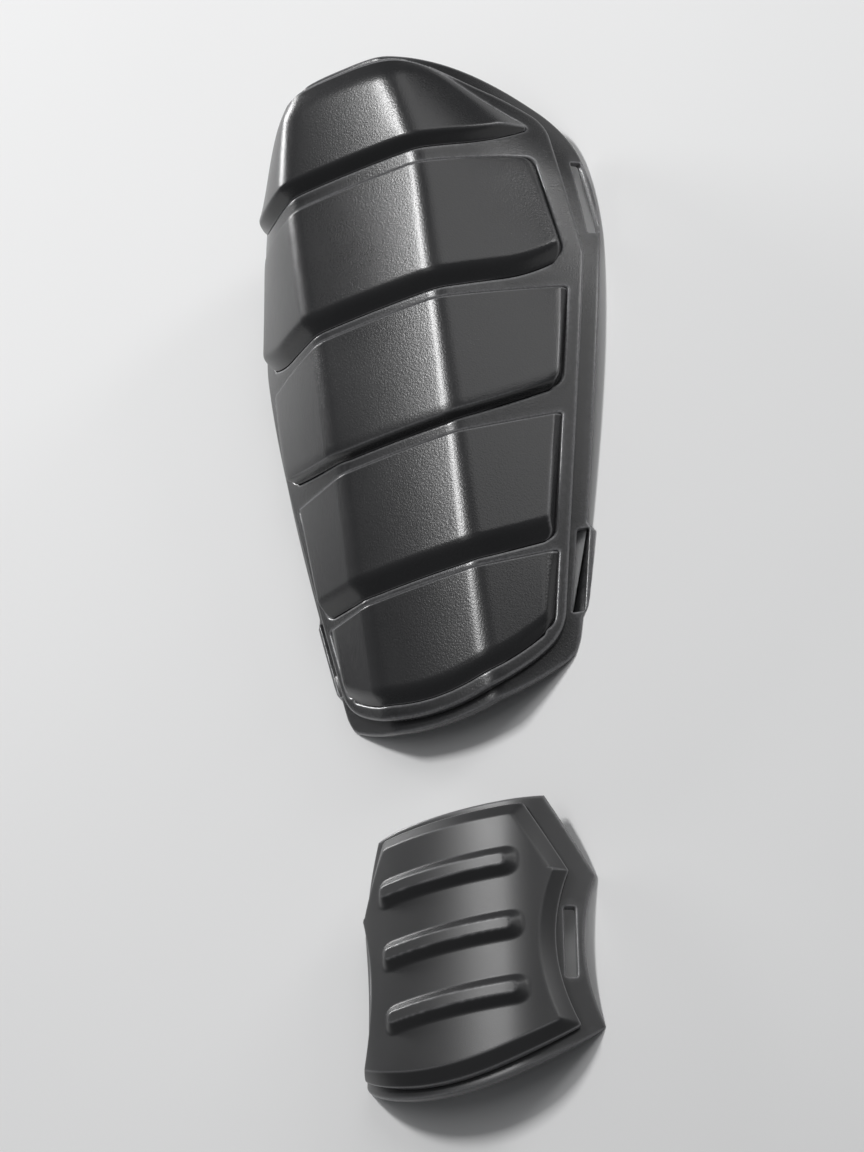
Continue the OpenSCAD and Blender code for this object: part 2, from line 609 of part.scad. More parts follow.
module hand_base() {
    rows = len(hand_grid);
    cols = len(hand_grid[0]);
    top_h = [for (i = [0:rows - 1]) [for (j = [0:cols - 1])
        i == 0 || i == rows - 1 || j == 0 || j == cols - 1 ? -edge_chamfer : 0]];
    color(graphite) above_floor() difference() {
        skin(wrap(hand_grid, top_h, hand_pt), wrap(hand_grid, level(hand_grid, -hand_wall), hand_pt));
        hand_slot(-1);
        hand_slot(1);
        at_hand_screws() screw_hole(hand_wall);
    }
}

module rib(y, side) {
    half_w = rib_w/2 + rib_run;
    half_len = rib_len/2 + rib_run;
    us = [-half_len, -rib_len/2, -rib_len/4, 0, rib_len/4, rib_len/2, half_len];
    vs = [-half_w, -rib_w/2, rib_w/2, half_w];
    grid = [for (v = vs) [for (u = us) [u + side, y + v]]];
    top = [for (v = vs) [for (u = us)
        abs(v) == half_w || abs(u) == half_len ? plate_h - weld : plate_h + rib_h]];
    skin(wrap(grid, top, hand_pt), wrap(grid, level(grid, plate_h - lame_wall/2), hand_pt));
}

module hand_plate() {
    grid = patch(hand_rows(plate_bevel), plate_low, plate_high, plate_side, hand_col_fn, plate_bevel);
    last = len(grid) - 1;
    top = heights([for (i = [0:last]) i == 0 || i == last ? plate_step : plate_h], len(grid[0]), plate_step);
    color(graphite) difference() {
        union() {
            skin(wrap(grid, top, hand_pt), wrap(grid, hollow(top, lame_wall, seat_gap), hand_pt));
            for (k = [0:rib_count - 1]) let(turn = k - (rib_count - 1)/2)
                rib(turn*rib_pitch - rib_drop, -turn*rib_step);
            for (y = hand_screw_y, s = [-1, 1]) on_hand(s*hand_screw_u, y, seat_gap)
                cylinder(h = plate_h - boss_drop - seat_gap, d = screw_d + 2*boss_wall, $fn = round_facets);
        }
        at_hand_screws() pilot(lame_bite);
    }
}
module hand_screws() { color(screw_grey) at_hand_screws() screw(lame_bite, hand_wall); }

forearm_base();
forearm_frame();
elbow_lame();
upper_lame();
middle_lame();
lower_lame();
wrist_lame();
lame_screws();
frame_screws();
hand_base();
hand_plate();
hand_screws();
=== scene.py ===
"""Looks of the gauntlet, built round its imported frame.

Each rigid shell is made again as a fine mesh from the same sizes as the CAD solid that it stands
for. It is laid out flat first, as u (the way round the section) and y (the way along the guard),
with a height h above the outer face of its base shell, and then wrapped on the guard. Lengths are
in millimetres until a mesh is made. The lames are numbered from the elbow down to the wrist.
"""

import math

import bpy
import numpy as np
from mathutils import Matrix, Vector
from mathutils.geometry import delaunay_2d_cdt


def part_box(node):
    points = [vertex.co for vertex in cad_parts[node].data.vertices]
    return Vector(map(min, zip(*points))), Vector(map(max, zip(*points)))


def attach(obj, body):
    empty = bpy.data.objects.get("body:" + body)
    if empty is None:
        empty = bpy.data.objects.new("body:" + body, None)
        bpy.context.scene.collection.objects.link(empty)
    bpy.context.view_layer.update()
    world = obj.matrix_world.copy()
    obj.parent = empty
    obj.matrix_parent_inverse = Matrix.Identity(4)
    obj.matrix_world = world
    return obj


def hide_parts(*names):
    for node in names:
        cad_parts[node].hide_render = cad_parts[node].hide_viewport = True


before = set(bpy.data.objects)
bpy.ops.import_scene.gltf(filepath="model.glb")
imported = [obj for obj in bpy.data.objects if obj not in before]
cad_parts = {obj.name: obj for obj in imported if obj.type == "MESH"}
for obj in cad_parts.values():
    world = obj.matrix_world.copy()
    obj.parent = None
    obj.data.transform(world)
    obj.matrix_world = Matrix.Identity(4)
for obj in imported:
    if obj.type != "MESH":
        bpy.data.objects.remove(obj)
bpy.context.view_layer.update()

MM = 1000  # in a metre

# ---- sizes, as in the CAD source ----------------------------------------------------------------
LENGTH, BASE_WALL = 244.0, 3.0
WRIST_W, SIDE_TAPER, SHOULDER_DROP, SHOULDER_R = 46.9, 0.221, 80.6, 93.5
WRIST_BOW_R, ELBOW_FLAT_W, ELBOW_BOW_R, WRIST_CORNER_R, WRIST_CORNER_Y = 88.0, 5.6, 86.4, 14.0, 21.0
CENTRE_W, CENTRE_GAIN, DRAW_RUN, DRAW_R, CENTRE_TURN = 16.3, 7.0, 55.7, 150.0, math.radians(3.5)
CREASE_LEN, CREASE_TURN, CREASE_GAIN = 6.0, math.radians(25.4), math.radians(6.8)
SIDE_BEND, BEND_POWER, RIM_TRIM = math.radians(0.94), 3.1, 0.9
SLOT_LEN, SLOT_W, SLOT_LAND, LOW_SLOT_Y, HIGH_SLOT_DROP = 29.0, 4.2, 2.4, 28.5, 47.5
EAR_W, EAR_SLOPE, EAR_PAST = 2.5, 3.0, 2.1
FRAME_H, FLANGE_W, FLANGE_GAIN, SLOT_FLANGE, SLOT_FLANGE_RUN = 3.0, 5.8, 1.2, 4.4, 14.0
WRIST_FLANGE, ELBOW_FLANGE, ARCH_START, ARCH_RUN, ARCH_FLANGE = 4.2, 3.0, 20.0, 30.0, 5.4
FRAME_BOW_R, BORDER_W, ELBOW_BORDER, WRIST_BORDER, FRAME_CORNER_Y = 70.0, 4.6, 1.3, 7.1, 24.0
LAME_PARTS = [32.6, 41.7, 43.0, 39.7, 37.1]
UNDER_RUN = [3.8, 5.2, 1.9, 6.1]
STRIP_W = [5.7, 3.8, 4.6, 2.9]
LIP_H, TOP_STEP, WRIST_STEP, WRIST_RUN, LAME_SINK = 3.8, 1.1, 2.6, 5.0, 0.3
LIP_RAKE = [0.0, 0.015, 0.155, 0.085]
TOP_RAKE = [-0.035, -0.03, 0.045, 0.05]
LIP_CURL, CURL_RUN = [4.5, 6.5, 1.0, 0.5], 24.0
TIP_START, TIP_RUN, TIP_DROP, DOME_RUN, DOME_H = 28.0, 32.0, 6.6, 6.6, 3.0
SEAT_GAP, FIT_GAP = 0.12, 0.3
SCREW_HEAD_R, SCREW_HEAD_H, LAME_SCREW_U = 2.5, 1.2, 11.0
HAND_R, HAND_FLAT_W, HAND_SIDE_R, HAND_WALL = 100.0, 20.0, 43.0, 3.0
HAND_TOP, HAND_BOTTOM, HAND_TOP_W, HAND_POINT_W, HAND_POINT_Y = 47.2, 51.6, 33.4, 49.8, 19.0
HAND_WAIST_W, HAND_WAIST_Y, HAND_BOW_R = 45.3, -5.0, 76.5
HAND_FLANGE, HAND_CORNER_FLANGE, HAND_END_FLANGE = 9.6, 6.7, 3.3
PLATE_H, PLATE_BEVEL, PLATE_STEP = 5.0, 4.8, 2.2
HAND_SLOT_LEN, HAND_SLOT_W, HAND_SLOT_LAND = 24.5, 3.9, 2.9
HAND_SCREW_U, HAND_SCREW_PITCH = 25.0, 58.0
RIB_COUNT, RIB_PITCH, RIB_STEP, RIB_LEN, RIB_W, RIB_H, RIB_RUN = 3, 22.6, 1.2, 42.0, 3.6, 2.8, 3.2
HAND_DROP, HAND_SIDE, HAND_TURN = 82.4, -0.5, math.radians(-2.8)

# ---- sizes of the finer forms that only the looks have ------------------------------------------
BASE_ROUND, FRAME_ROUND, WINDOW_ROUND, SLOT_ROUND, INNER_ROUND = 0.9, 1.1, 0.7, 0.5, 0.4
HAND_ROUND, HAND_INNER_ROUND = 0.9, 0.4
BASE_INSET, HAND_INSET = 0.46, 0.08  # keeps the true curves inside the CAD solids' straight facets
SHOULDER_ROUND, BASE_CORNER, SLOT_CORNER = 34.0, 0.8, 0.7
FRAME_CORNER, FRAME_LOW_CORNER = 12.0, 0.6
WINDOW_FIT = 0.7  # the share of the CAD's fit gap that is left round a lame
RECESS_GAP = 0.03  # above a screw head in its recess
# past the shoulder the frame's edge and the upper lame's ends run straight
CHORD_W, CHORD_Y, CHORD_FALL, CHORD_SOFT = 74.85, 158.0, 0.0745, 0.5
UPPER_W, UPPER_FALL = 67.7, 0.117
TIP_W = 62.5  # the elbow lame ends in a point there
BORDERS = [0.0, 0.0, 5.6, 5.2, 3.8]  # from the frame's edge to the ends of the lower three lames
LOW_CORNERS, TOP_CORNERS = [0.6, 5.0, 4.6, 3.6, 3.0], [0.6, 2.6, 0.9, 0.7, 0.7]
LAME_FOOT_DROP, END_SINK = 0.7, 0.4  # how far below the frame's top, and below that, an end reaches
LIP_SOFT, TOP_SOFT, FOOT_SOFT = 1.3, 0.4, 0.9
TOP_FOOT, TOP_SLOPE = 0.55, 2.2  # a lame's top edge starts so far below its face and so steep
END_RUNS, END_SOFTS = [1.6, 1.5, 1.4, 2.3, 3.2], [1.0, 2.2, 1.6, 0.8, 1.2]
LIP_FALLS, LIP_RUNS = [0.25, 0.5, 0.45, 0.25, 0.0], [2.6, 4.6, 4.6, 2.8, 1.0]
FALL_START = 0.6  # where a lip starts to fall, as a share of its run
END_FALLS, END_FALL_RUN = [0.0, 0.8, 0.7, 0.1, 0.0], 5.5
DOME_SOFT, DOME_FADE, DOME_FADE_RUN, DOME_SIDE_H = 0.8, 14.0, 20.0, 1.7
DOME_FOOT, DOME_SHORTER = 0.3, 0.7  # its foot below the lame's face, its run's loss at the sides
LEAST_WEDGE = 6.0  # a lame's slope is never spread over less
WRIST_DROP, WRIST_LIP_RUN, WRIST_BOW = 1.9, 4.6, 62.0  # the wrist lame's foot, lower in the looks
SLANT_ABOVE, SLANT_BELOW = 0.87, 0.97  # steps off the hand plate's slanted sides, per step in u
MITRE_SOFT, PLATE_SOFT, PLATE_FOOT_R, PLATE_FOOT_SHARE = 1.1, 0.22, 0.35, 0.5
RIB_LONGER, RIB_SHIFT, RIB_SQUARE, RIB_SOFT, RIB_REACH = 2.4, 0.7, 2.8, 0.5, 1.25
# a mask on the outer edges: a painted highlight, a paler colour, which also stands for polish from
# handling
HIGHLIGHT_POLISH_BEND, HIGHLIGHT_POLISH_FULL_BEND = 0.35, 0.85  # an edge's bend, 1 / radius, where the painted edge highlight and the polish of handling start and are full
HIGHLIGHT_POLISH_POWER, HIGHLIGHT_POLISH_BLURS = 1.5, 2

# ---- how finely the meshes are made -------------------------------------------------------------
COARSE_STEP, FINE_STEP = 1.2, 1.0  # between the points along an outline
BASE_GRID, FRAME_GRID, HAND_GRID = 2.0, 1.0, 1.6  # between the points that fill an outline
CORNER_POINTS, FILLET_POINTS, SLOT_POINTS, RING_POINTS, LEAST_POINTS = 8, 14, 5, 20, 3
CLOSEST, ON_AXIS, TINY = 0.05, 1e-6, 1e-12
MERGE_DISTANCE, LEAST_AREA, LEAST_EDGE_SQUARED = 1e-4, 1e-7, 1e-4
CHUNK = 2000  # points measured at a time, to save memory
ROUND_ANGLES, ROUND_PAST = (22, 45, 67, 90), 1.6  # rows over a rounded edge, and one past it
ROW_CLEAR = 0.93  # a row's point stays where no outline is nearer than this share of its offset
GRID_CLEAR, RING_CLEAR = 0.4, 0.35  # between a grid and the rows or a ring, in grid steps
RECESS_RINGS, RECESS_EDGE = (0.25, 0.18), 0.22  # past a screw head: rings on both sides of an edge
LAME_NEAR = np.array(
    [4.6, 3.9, 3.3, 2.8, 2.4, 2.05, 1.75, 1.5, 1.25, 1.0, 0.8, 0.6, 0.4, 0.25, 0.1, 0.0]
)  # columns near a lame's end
CENTRE_COLS, CREASE_COLS, SIDE_COLS = 12, 11, 18
FOOT_ROWS = [0, 0.15, 0.35, 0.6, 0.9]
LIP_ROW_START, LIP_ROW_PAST, LIP_ROW_STEP = 1.3, 4.8, 0.45
FACE_ROWS = [20, 16, 16, 16, 16]
TOP_ROWS = np.array([2.6, 2.0, 1.5, 1.1, 0.8, 0.55, 0.35, 0.2, 0.08, 0.0])
PLATE_NEAR = np.array(
    [7.0, 6.2, 5.6, 5.2, 4.9, 4.6, 4.3, 4.0, 3.4, 2.6, 1.8, 1.0, 0.5, 0.3, 0.15, 0.05, 0.0]
)  # columns and rows near the hand plate's edges
PLATE_COLS, PLATE_LOW_ROWS, PLATE_TOP_ROWS = 62, 160, 66
ROW_ROOM = 1.5  # what a span needs beyond its rows' offsets before they draw together
SHARP, SKIN_SHARP = 38, 60  # degrees
GUESS_W, MEET_STEPS, PATCH_STEPS = 40.0, 40, 30  # how half widths are found
FLOOR_STEPS, FLOOR_NUDGE, FLOOR_SLOPE = 6, 0.001, -1  # how points are drawn back to the floor


def bow(u, r):
    return u * u / (2 * r)


def smooth(f):
    c = np.clip(f, 0, 1)
    return c * c * (3 - 2 * c)


def soft_min(a, b, k):
    """The lower of two heights, with the edge where they meet rounded over k."""
    return np.minimum(a, b) - np.maximum(k - np.abs(a - b), 0) ** 2 / (4 * k)


# ---- the forearm guard's section and outlines ---------------------------------------------------
def arc(x, z, a, length, turn):
    """The end of an arc that starts at x, z with heading a, and its heading there."""
    small = np.abs(turn) < 1e-7
    t = np.where(small, 1.0, turn)
    b = a + turn
    dx = np.where(small, length * np.cos(a), length * (np.sin(b) - np.sin(a)) / t)
    dz = np.where(small, -length * np.sin(a), length * (np.cos(b) - np.cos(a)) / t)
    return x + dx, z + dz, b


def centre_at(y):
    return CENTRE_W + CENTRE_GAIN * y / LENGTH - bow(np.maximum(0, y - LENGTH + DRAW_RUN), DRAW_R)


def section(u, y):
    c = centre_at(y)
    n, m = np.minimum(u, c), np.clip(u - c, 0, CREASE_LEN)
    s = np.maximum(u - c - CREASE_LEN, 0)
    x, z, a = arc(0.0, 0.0, 0.0, n, CENTRE_TURN * n / c)
    x, z, a = arc(x, z, a, m, (CREASE_TURN + CREASE_GAIN * y / LENGTH) * m / CREASE_LEN)
    return arc(x, z, a, s, SIDE_BEND * np.clip(y / LENGTH, 0, 1) ** BEND_POWER * s)


def shell(u, y, h):
    x, z, a = section(np.abs(u), y)
    return np.sign(u) * (x + h * np.sin(a)), y, z + h * np.cos(a)


SHOULDER_Y = LENGTH - SHOULDER_DROP


def plain_side(y):
    into = bow(np.maximum(0, y - SHOULDER_Y), SHOULDER_R)
    return WRIST_W + SIDE_TAPER * y - into - bow(np.maximum(0, WRIST_CORNER_Y - y), WRIST_CORNER_R)


EAR = (LOW_SLOT_Y - EAR_PAST, LOW_SLOT_Y + SLOT_LEN + EAR_PAST)


def base_side(y):
    up, down = np.clip((y - EAR[0]) / EAR_SLOPE, 0, 1), np.clip((EAR[1] - y) / EAR_SLOPE, 0, 1)
    return plain_side(y) + EAR_W * up * down


def base_low(u):
    return bow(u, WRIST_BOW_R)


def base_high(u):
    return LENGTH - bow(np.maximum(0, np.abs(u) - ELBOW_FLAT_W), ELBOW_BOW_R)


def flange_at(y):
    return FLANGE_W + FLANGE_GAIN * np.minimum(y, SHOULDER_Y) / SHOULDER_Y


def frame_side(y):
    free = plain_side(y) - flange_at(y)
    free = free - bow(np.maximum(0, WRIST_FLANGE + FRAME_CORNER_Y - y), WRIST_CORNER_R)
    return soft_min(free, CHORD_W - CHORD_FALL * (y - CHORD_Y), CHORD_SOFT)


def frame_low(u):
    return WRIST_FLANGE + bow(u, FRAME_BOW_R)


def frame_high(u):
    return base_high(u) - ELBOW_FLANGE - ARCH_FLANGE * smooth((np.abs(u) - ARCH_START) / ARCH_RUN)


LAMES = len(LAME_PARTS)
ELBOW_TOP = base_high(centre_at(LENGTH)) - ELBOW_FLANGE - ELBOW_BORDER
WRIST_END = WRIST_FLANGE + WRIST_BORDER
LAME_SCALE = (ELBOW_TOP - WRIST_END - sum(UNDER_RUN) - sum(STRIP_W)) / sum(LAME_PARTS)


def lame_top(i):
    return ELBOW_TOP - LAME_SCALE * sum(LAME_PARTS[:i]) - sum(UNDER_RUN[:i]) - sum(STRIP_W[:i])


def lame_foot(i):
    return WRIST_END if i == LAMES - 1 else lame_top(i) - LAME_SCALE * LAME_PARTS[i] - UNDER_RUN[i]


def slant(u, y, rake):
    return rake * np.maximum(0, np.abs(u) - centre_at(y))


def lame_side(i):
    if i == 0:
        return lambda y: TIP_W + 0 * y
    if i == 1:
        return lambda y: UPPER_W - UPPER_FALL * (y - CHORD_Y)
    return lambda y: frame_side(y) - BORDERS[i]


def lame_end_w(i):
    return float(lame_side(i)(lame_foot(i)))


def curl(u, i):
    return LIP_CURL[i] * np.clip(1 - (lame_end_w(i) - np.abs(u)) / CURL_RUN, 0, 1) ** 2


def lame_low(i):
    if i == LAMES - 1:
        return lambda u: WRIST_END - WRIST_DROP + bow(u, WRIST_BOW)
    return lambda u: lame_foot(i) + slant(u, lame_foot(i), LIP_RAKE[i]) + curl(u, i)


def tip_drop(u):
    return TIP_DROP * smooth((np.abs(u) - TIP_START) / TIP_RUN)


def lame_high(i):
    if i == 0:
        return lambda u: frame_high(u) - ELBOW_BORDER - tip_drop(u)
    return lambda u: lame_top(i) + slant(u, lame_top(i), TOP_RAKE[i - 1])


# ---- where the guards lie: the pitch levels the rim, the lift brings it to the floor ------------
def rim_z(y):
    return float(shell(plain_side(y), y, -BASE_WALL)[2])


LEVEL_LOW, LEVEL_HIGH = 0.2 * LENGTH, 0.75 * LENGTH
PITCH = math.atan((rim_z(LEVEL_LOW) - rim_z(LEVEL_HIGH)) / (LEVEL_HIGH - LEVEL_LOW))
LIFT = -(LEVEL_LOW * math.sin(PITCH) + rim_z(LEVEL_LOW) * math.cos(PITCH)) - RIM_TRIM
base_lo, base_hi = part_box("forearm_base")
ORIGIN_X = -MM / 2 * (base_lo.x + base_hi.x)
ORIGIN_Y = LENGTH * math.cos(PITCH) + BASE_WALL * math.sin(PITCH) - MM * base_hi.y


def on_forearm(u, y, h):
    x, y, z = shell(u, y, h)
    c, s = math.cos(PITCH), math.sin(PITCH)
    return np.stack([x - ORIGIN_X, y * c - z * s - ORIGIN_Y, LIFT + y * s + z * c], -1)


# ---- the hand guard's section and outlines ------------------------------------------------------
def hand_section(u):
    n = np.minimum(u, HAND_FLAT_W)
    x, z, a = arc(0.0, 0.0, 0.0, n, n / HAND_R)
    return arc(x, z, a, u - n, (u - n) / HAND_SIDE_R)


def hand_z(u, h):
    _, z, a = hand_section(np.abs(u))
    return z + h * np.cos(a)


HAND_RIM = float(hand_z(HAND_POINT_W, -HAND_WALL))


def on_hand(u, y, h):
    x, _, a = hand_section(np.abs(u))
    x = np.sign(u) * (x + h * np.sin(a))
    c, s = math.cos(HAND_TURN), math.sin(HAND_TURN)
    across, along = HAND_SIDE + x * c - y * s - ORIGIN_X, x * s + y * c - HAND_DROP - ORIGIN_Y
    return np.stack([across, along, hand_z(u, h) - HAND_RIM - RIM_TRIM], -1)


def hand_side_at(y, inset, top_inset, end_inset):
    low_w, waist_w = HAND_POINT_W - inset, HAND_WAIST_W - inset
    part = (y - HAND_POINT_Y) / (HAND_TOP - end_inset - HAND_POINT_Y)
    above = low_w + (HAND_TOP_W - top_inset - low_w) * part
    bend = ((y - HAND_WAIST_Y) / (HAND_POINT_Y - HAND_WAIST_Y)) ** 2
    return np.where(y > HAND_POINT_Y, above, waist_w + (low_w - waist_w) * bend)


def hand_base_side(y):
    return hand_side_at(y, 0, 0, 0)


def hand_low(u):
    return bow(u, HAND_BOW_R) - HAND_BOTTOM


def hand_high(u):
    return HAND_TOP + 0 * u


def plate_side(y):
    return hand_side_at(y, HAND_FLANGE, HAND_CORNER_FLANGE, HAND_END_FLANGE)


def plate_low(u):
    return bow(u, HAND_BOW_R - HAND_FLANGE) - HAND_BOTTOM + HAND_END_FLANGE


def plate_high(u):
    return HAND_TOP - HAND_END_FLANGE + 0 * u


# ---- flat outlines ------------------------------------------------------------------------------
def meet(edge, side):
    """Half width where an end edge meets the side."""
    w = GUESS_W
    for _ in range(MEET_STEPS):
        w = 0.5 * w + 0.5 * float(side(edge(w)))
    return w


def spread(start, end, step):
    return np.linspace(start, end, max(LEAST_POINTS, int(abs(end - start) / step)))


def corner_points(side, end_y, r, turns):
    """Points round a corner rounded over |r|: up from end_y, or down from it if r is below 0."""
    ys = [end_y + r * (1 - math.cos(t)) for t in turns]
    return [(float(side(y)) - abs(r) * (1 - math.sin(t)), y) for y, t in zip(ys, turns)]


def outline(low, high, side, step, low_corner=0.0, high_corner=0.0, keys=()):
    """A closed outline, the outer way round, with rounded corners and a point at each key's y."""
    low_w, high_w = meet(low, side), meet(high, side)
    low_y, high_y = float(low(low_w)), float(high(high_w))
    turns = np.linspace(0, math.pi / 2, CORNER_POINTS)
    right = [(u, float(low(u))) for u in spread(0, low_w - low_corner, step)]
    if low_corner:
        right += corner_points(side, low_y, low_corner, turns[1:])
    y0, y1 = low_y + low_corner, high_y - high_corner
    ys = sorted(set(spread(y0, y1, step)) | {k for k in keys if y0 < k < y1})
    right += [(float(side(y)), y) for y in ys if y > right[-1][1] + CLOSEST]
    if high_corner:
        right += corner_points(side, high_y, -high_corner, turns[::-1][1:])
    right += [(u, float(high(u))) for u in spread(high_w - high_corner, 0, step)[1:]]
    left = [(-u, y) for u, y in right[::-1] if u > ON_AXIS]
    return np.array(right + left)


def fillet(poly, at, r):
    """The outline with its corner nearest to a point rounded over about r."""
    k = int(np.argmin(np.linalg.norm(poly - at, axis=1)))
    poly = np.roll(poly, len(poly) // 2 - k, axis=0)
    k = len(poly) // 2
    corner = poly[k].copy()
    into, out = corner - poly[k - 1], poly[k + 1] - corner
    turn = abs(math.atan2(into[0] * out[1] - into[1] * out[0], float(into @ out)))
    reach = r * math.tan(turn / 2)
    i, j = k - 1, k + 1
    while np.linalg.norm(poly[i] - corner) < reach:
        i -= 1
    while np.linalg.norm(poly[j] - corner) < reach:
        j += 1
    t = np.linspace(0, 1, FILLET_POINTS)[1:-1, None]
    curve = (1 - t) ** 2 * poly[i] + 2 * t * (1 - t) * corner + t * t * poly[j]
    return np.concatenate([poly[: i + 1], curve, poly[j:]])


def round_top(poly, high, side, r):
    """The outline with both corners of its high end rounded over about r."""
    w = meet(high, side)
    for u in (w, -w):
        poly = fillet(poly, np.array([u, float(high(w))]), r)
    return poly


def inset(poly, d):
    """The outline moved by d to its left, with mitred corners."""
    e = np.roll(poly, -1, 0) - poly
    e /= np.linalg.norm(e, axis=1)[:, None]
    n = np.stack([-e[:, 1], e[:, 0]], 1)
    before = np.roll(n, 1, 0)
    mitre = (n + before) / (1 + (n * before).sum(1))[:, None]
    return poly + d * mitre


def slot_outline(u, y, w, length, lean=0.0):
    """A slot with rounded corners, the inner way round."""
    r = SLOT_CORNER
    pts = []
    for cu, cy, start in ((1, 1, 0), (-1, 1, 90), (-1, -1, 180), (1, -1, 270)):
        for t in np.radians(start + np.linspace(0, 90, SLOT_POINTS)):
            v = cy * (length / 2 - r) + r * math.sin(t)
            pts.append((u + cu * (w / 2 - r) + r * math.cos(t) + lean * v, y + v))
    pts = np.array(pts)
    fine = []
    for a, b in zip(pts, np.roll(pts, -1, 0)):
        n = max(1, int(np.linalg.norm(b - a) / COARSE_STEP))
        fine += [a + (b - a) * k / n for k in range(n)]
    return np.array(fine)[::-1]


def distance(points, polys):
    """Distance of each point to the nearest outline."""
    best = np.full(len(points), np.inf)
    for poly in polys:
        a, b = poly, np.roll(poly, -1, 0)
        ab = b - a
        for k in range(0, len(points), CHUNK):
            p = points[k : k + CHUNK, None, :]
            t = np.clip(((p - a) * ab).sum(2) / np.maximum((ab**2).sum(1), TINY), 0, 1)
            d = np.linalg.norm(a + t[..., None] * ab - p, axis=2).min(1)
            best[k : k + CHUNK] = np.minimum(best[k : k + CHUNK], d)
    return best


def inside(points, poly):
    x, y = points[:, :1], points[:, 1:]
    a, b = poly, np.roll(poly, -1, 0)
    cross = (a[:, 1] > y) != (b[:, 1] > y)
    with np.errstate(divide="ignore", invalid="ignore"):
        at = a[:, 0] + (y - a[:, 1]) * (b[:, 0] - a[:, 0]) / (b[:, 1] - a[:, 1])
    return (cross & (x < at)).sum(1) % 2 == 1


def within(points, polys):
    """Which points lie inside the first outline and outside all the others."""
    keep = inside(points, polys[0])
    for hole in polys[1:]:
        keep &= ~inside(points, hole)
    return keep


def round_rows(r):
    """Offsets of the rows of points that a rounded edge needs."""
    return [r * (1 - math.cos(math.radians(a))) for a in ROUND_ANGLES] + [ROUND_PAST * r]


def rounded(d, r):
    """How far a surface drops at distance d from an edge rounded over r."""
    c = np.clip(r - d, 0, r)
    return r - np.sqrt(np.maximum(r * r - c * c, 0))


def edge_drop(gaps, outer_r, hole_r):
    """How far a face drops at its outer edge and at its holes, by its distances from them."""
    drop = rounded(gaps[0], outer_r)
    for gap in gaps[1:]:
        drop = np.maximum(drop, rounded(gap, hole_r))
    return drop


# ---- meshes -------------------------------------------------------------------------------------
def mark_edge_highlight_polish(mesh):
    """Stores how far each point lies on an outer edge, from 0 to 1, as a point attribute that masks
    the painted edge highlight and the polish of handling.
    """
    n, m = len(mesh.vertices), len(mesh.edges)
    at, normal = np.empty(3 * n, np.float32), np.empty(3 * n, np.float32)
    ends = np.empty(2 * m, np.int32)
    mesh.vertices.foreach_get("co", at)
    mesh.vertex_normals.foreach_get("vector", normal)
    mesh.edges.foreach_get("vertices", ends)
    at, normal = at.reshape(-1, 3).astype(float) * MM, normal.reshape(-1, 3).astype(float)
    a, b = ends.reshape(-1, 2).T
    a, b = np.concatenate([a, b]), np.concatenate([b, a])
    along = at[b] - at[a]
    bent = -2 * (normal[a] * along).sum(1) / np.maximum((along**2).sum(1), LEAST_EDGE_SQUARED)
    sharpest = np.zeros(n)
    np.maximum.at(sharpest, a, bent)
    edge_highlight_polish = smooth((sharpest - HIGHLIGHT_POLISH_BEND) / (HIGHLIGHT_POLISH_FULL_BEND - HIGHLIGHT_POLISH_BEND))
    count = np.maximum(np.bincount(a, minlength=n), 1)
    for _ in range(HIGHLIGHT_POLISH_BLURS):
        edge_highlight_polish = 0.5 * edge_highlight_polish + 0.5 * np.bincount(a, edge_highlight_polish[b], n) / count
    edge_highlight_polish = (edge_highlight_polish**HIGHLIGHT_POLISH_POWER).astype(np.float32)
    mesh.attributes.new("edge_highlight_polish", "FLOAT", "POINT").data.foreach_set("value", edge_highlight_polish)


def make_mesh(name, verts, faces, sharp):
    mesh = bpy.data.meshes.new(name)
    mesh.from_pydata((np.asarray(verts) / MM).tolist(), [], faces)
    mesh.validate()
    mesh.shade_smooth()
    mesh.set_sharp_from_angle(angle=math.radians(sharp))
    mark_edge_highlight_polish(mesh)
    obj = bpy.data.objects.new(name, mesh)
    bpy.context.scene.collection.objects.link(obj)
    return obj


def fill(polys, rows, step, rings):
    """The outlines' points, then rows that follow each outline, a grid in the rest, and rings."""
    pts = [*polys]
    for poly, offsets in zip(polys, rows):
        for d in offsets:
            row = inset(poly, d)
            pts.append(row[distance(row, polys) > ROW_CLEAR * d])
    reach = max(max(offsets) for offsets in rows)
    lo, hi = polys[0].min(0), polys[0].max(0)
    gx, gy = np.meshgrid(np.arange(lo[0], hi[0], step), np.arange(lo[1], hi[1], step))
    grid = np.stack([gx.ravel(), gy.ravel()], 1)
    grid = grid[within(grid, polys)]
    grid = grid[distance(grid, polys) > reach + GRID_CLEAR * step]
    for ring in rings:
        centre = ring.mean(0)
        far = np.linalg.norm(ring - centre, axis=1).max() + RING_CLEAR * step
        grid = grid[np.linalg.norm(grid - centre, axis=1) > far]
    return np.concatenate([*pts, grid, *rings])


def triangles(flat, polys):
    """The points used and their triangles, turned one way. The outlines' own points come first."""
    edges, at = [], 0
    for poly in polys:
        n = len(poly)
        edges += [(at + k, at + (k + 1) % n) for k in range(n)]
        at += n
    out = delaunay_2d_cdt([Vector(p) for p in flat], edges, [], 0, MERGE_DISTANCE, False)
    flat = np.array([tuple(v) for v in out[0]])
    tris = np.array([f for f in out[2] if len(f) == 3])
    tris = tris[within(flat[tris].mean(1), polys)]
    a, b, c = (flat[tris[:, k]] for k in range(3))
    area = (b[:, 0] - a[:, 0]) * (c[:, 1] - a[:, 1]) - (b[:, 1] - a[:, 1]) * (c[:, 0] - a[:, 0])
    real = np.abs(area) > LEAST_AREA
    tris, area = tris[real], area[real]
    tris[area < 0] = tris[area < 0][:, ::-1]
    used, tris = np.unique(tris, return_inverse=True)
    return flat[used], tris.reshape(-1, 3)


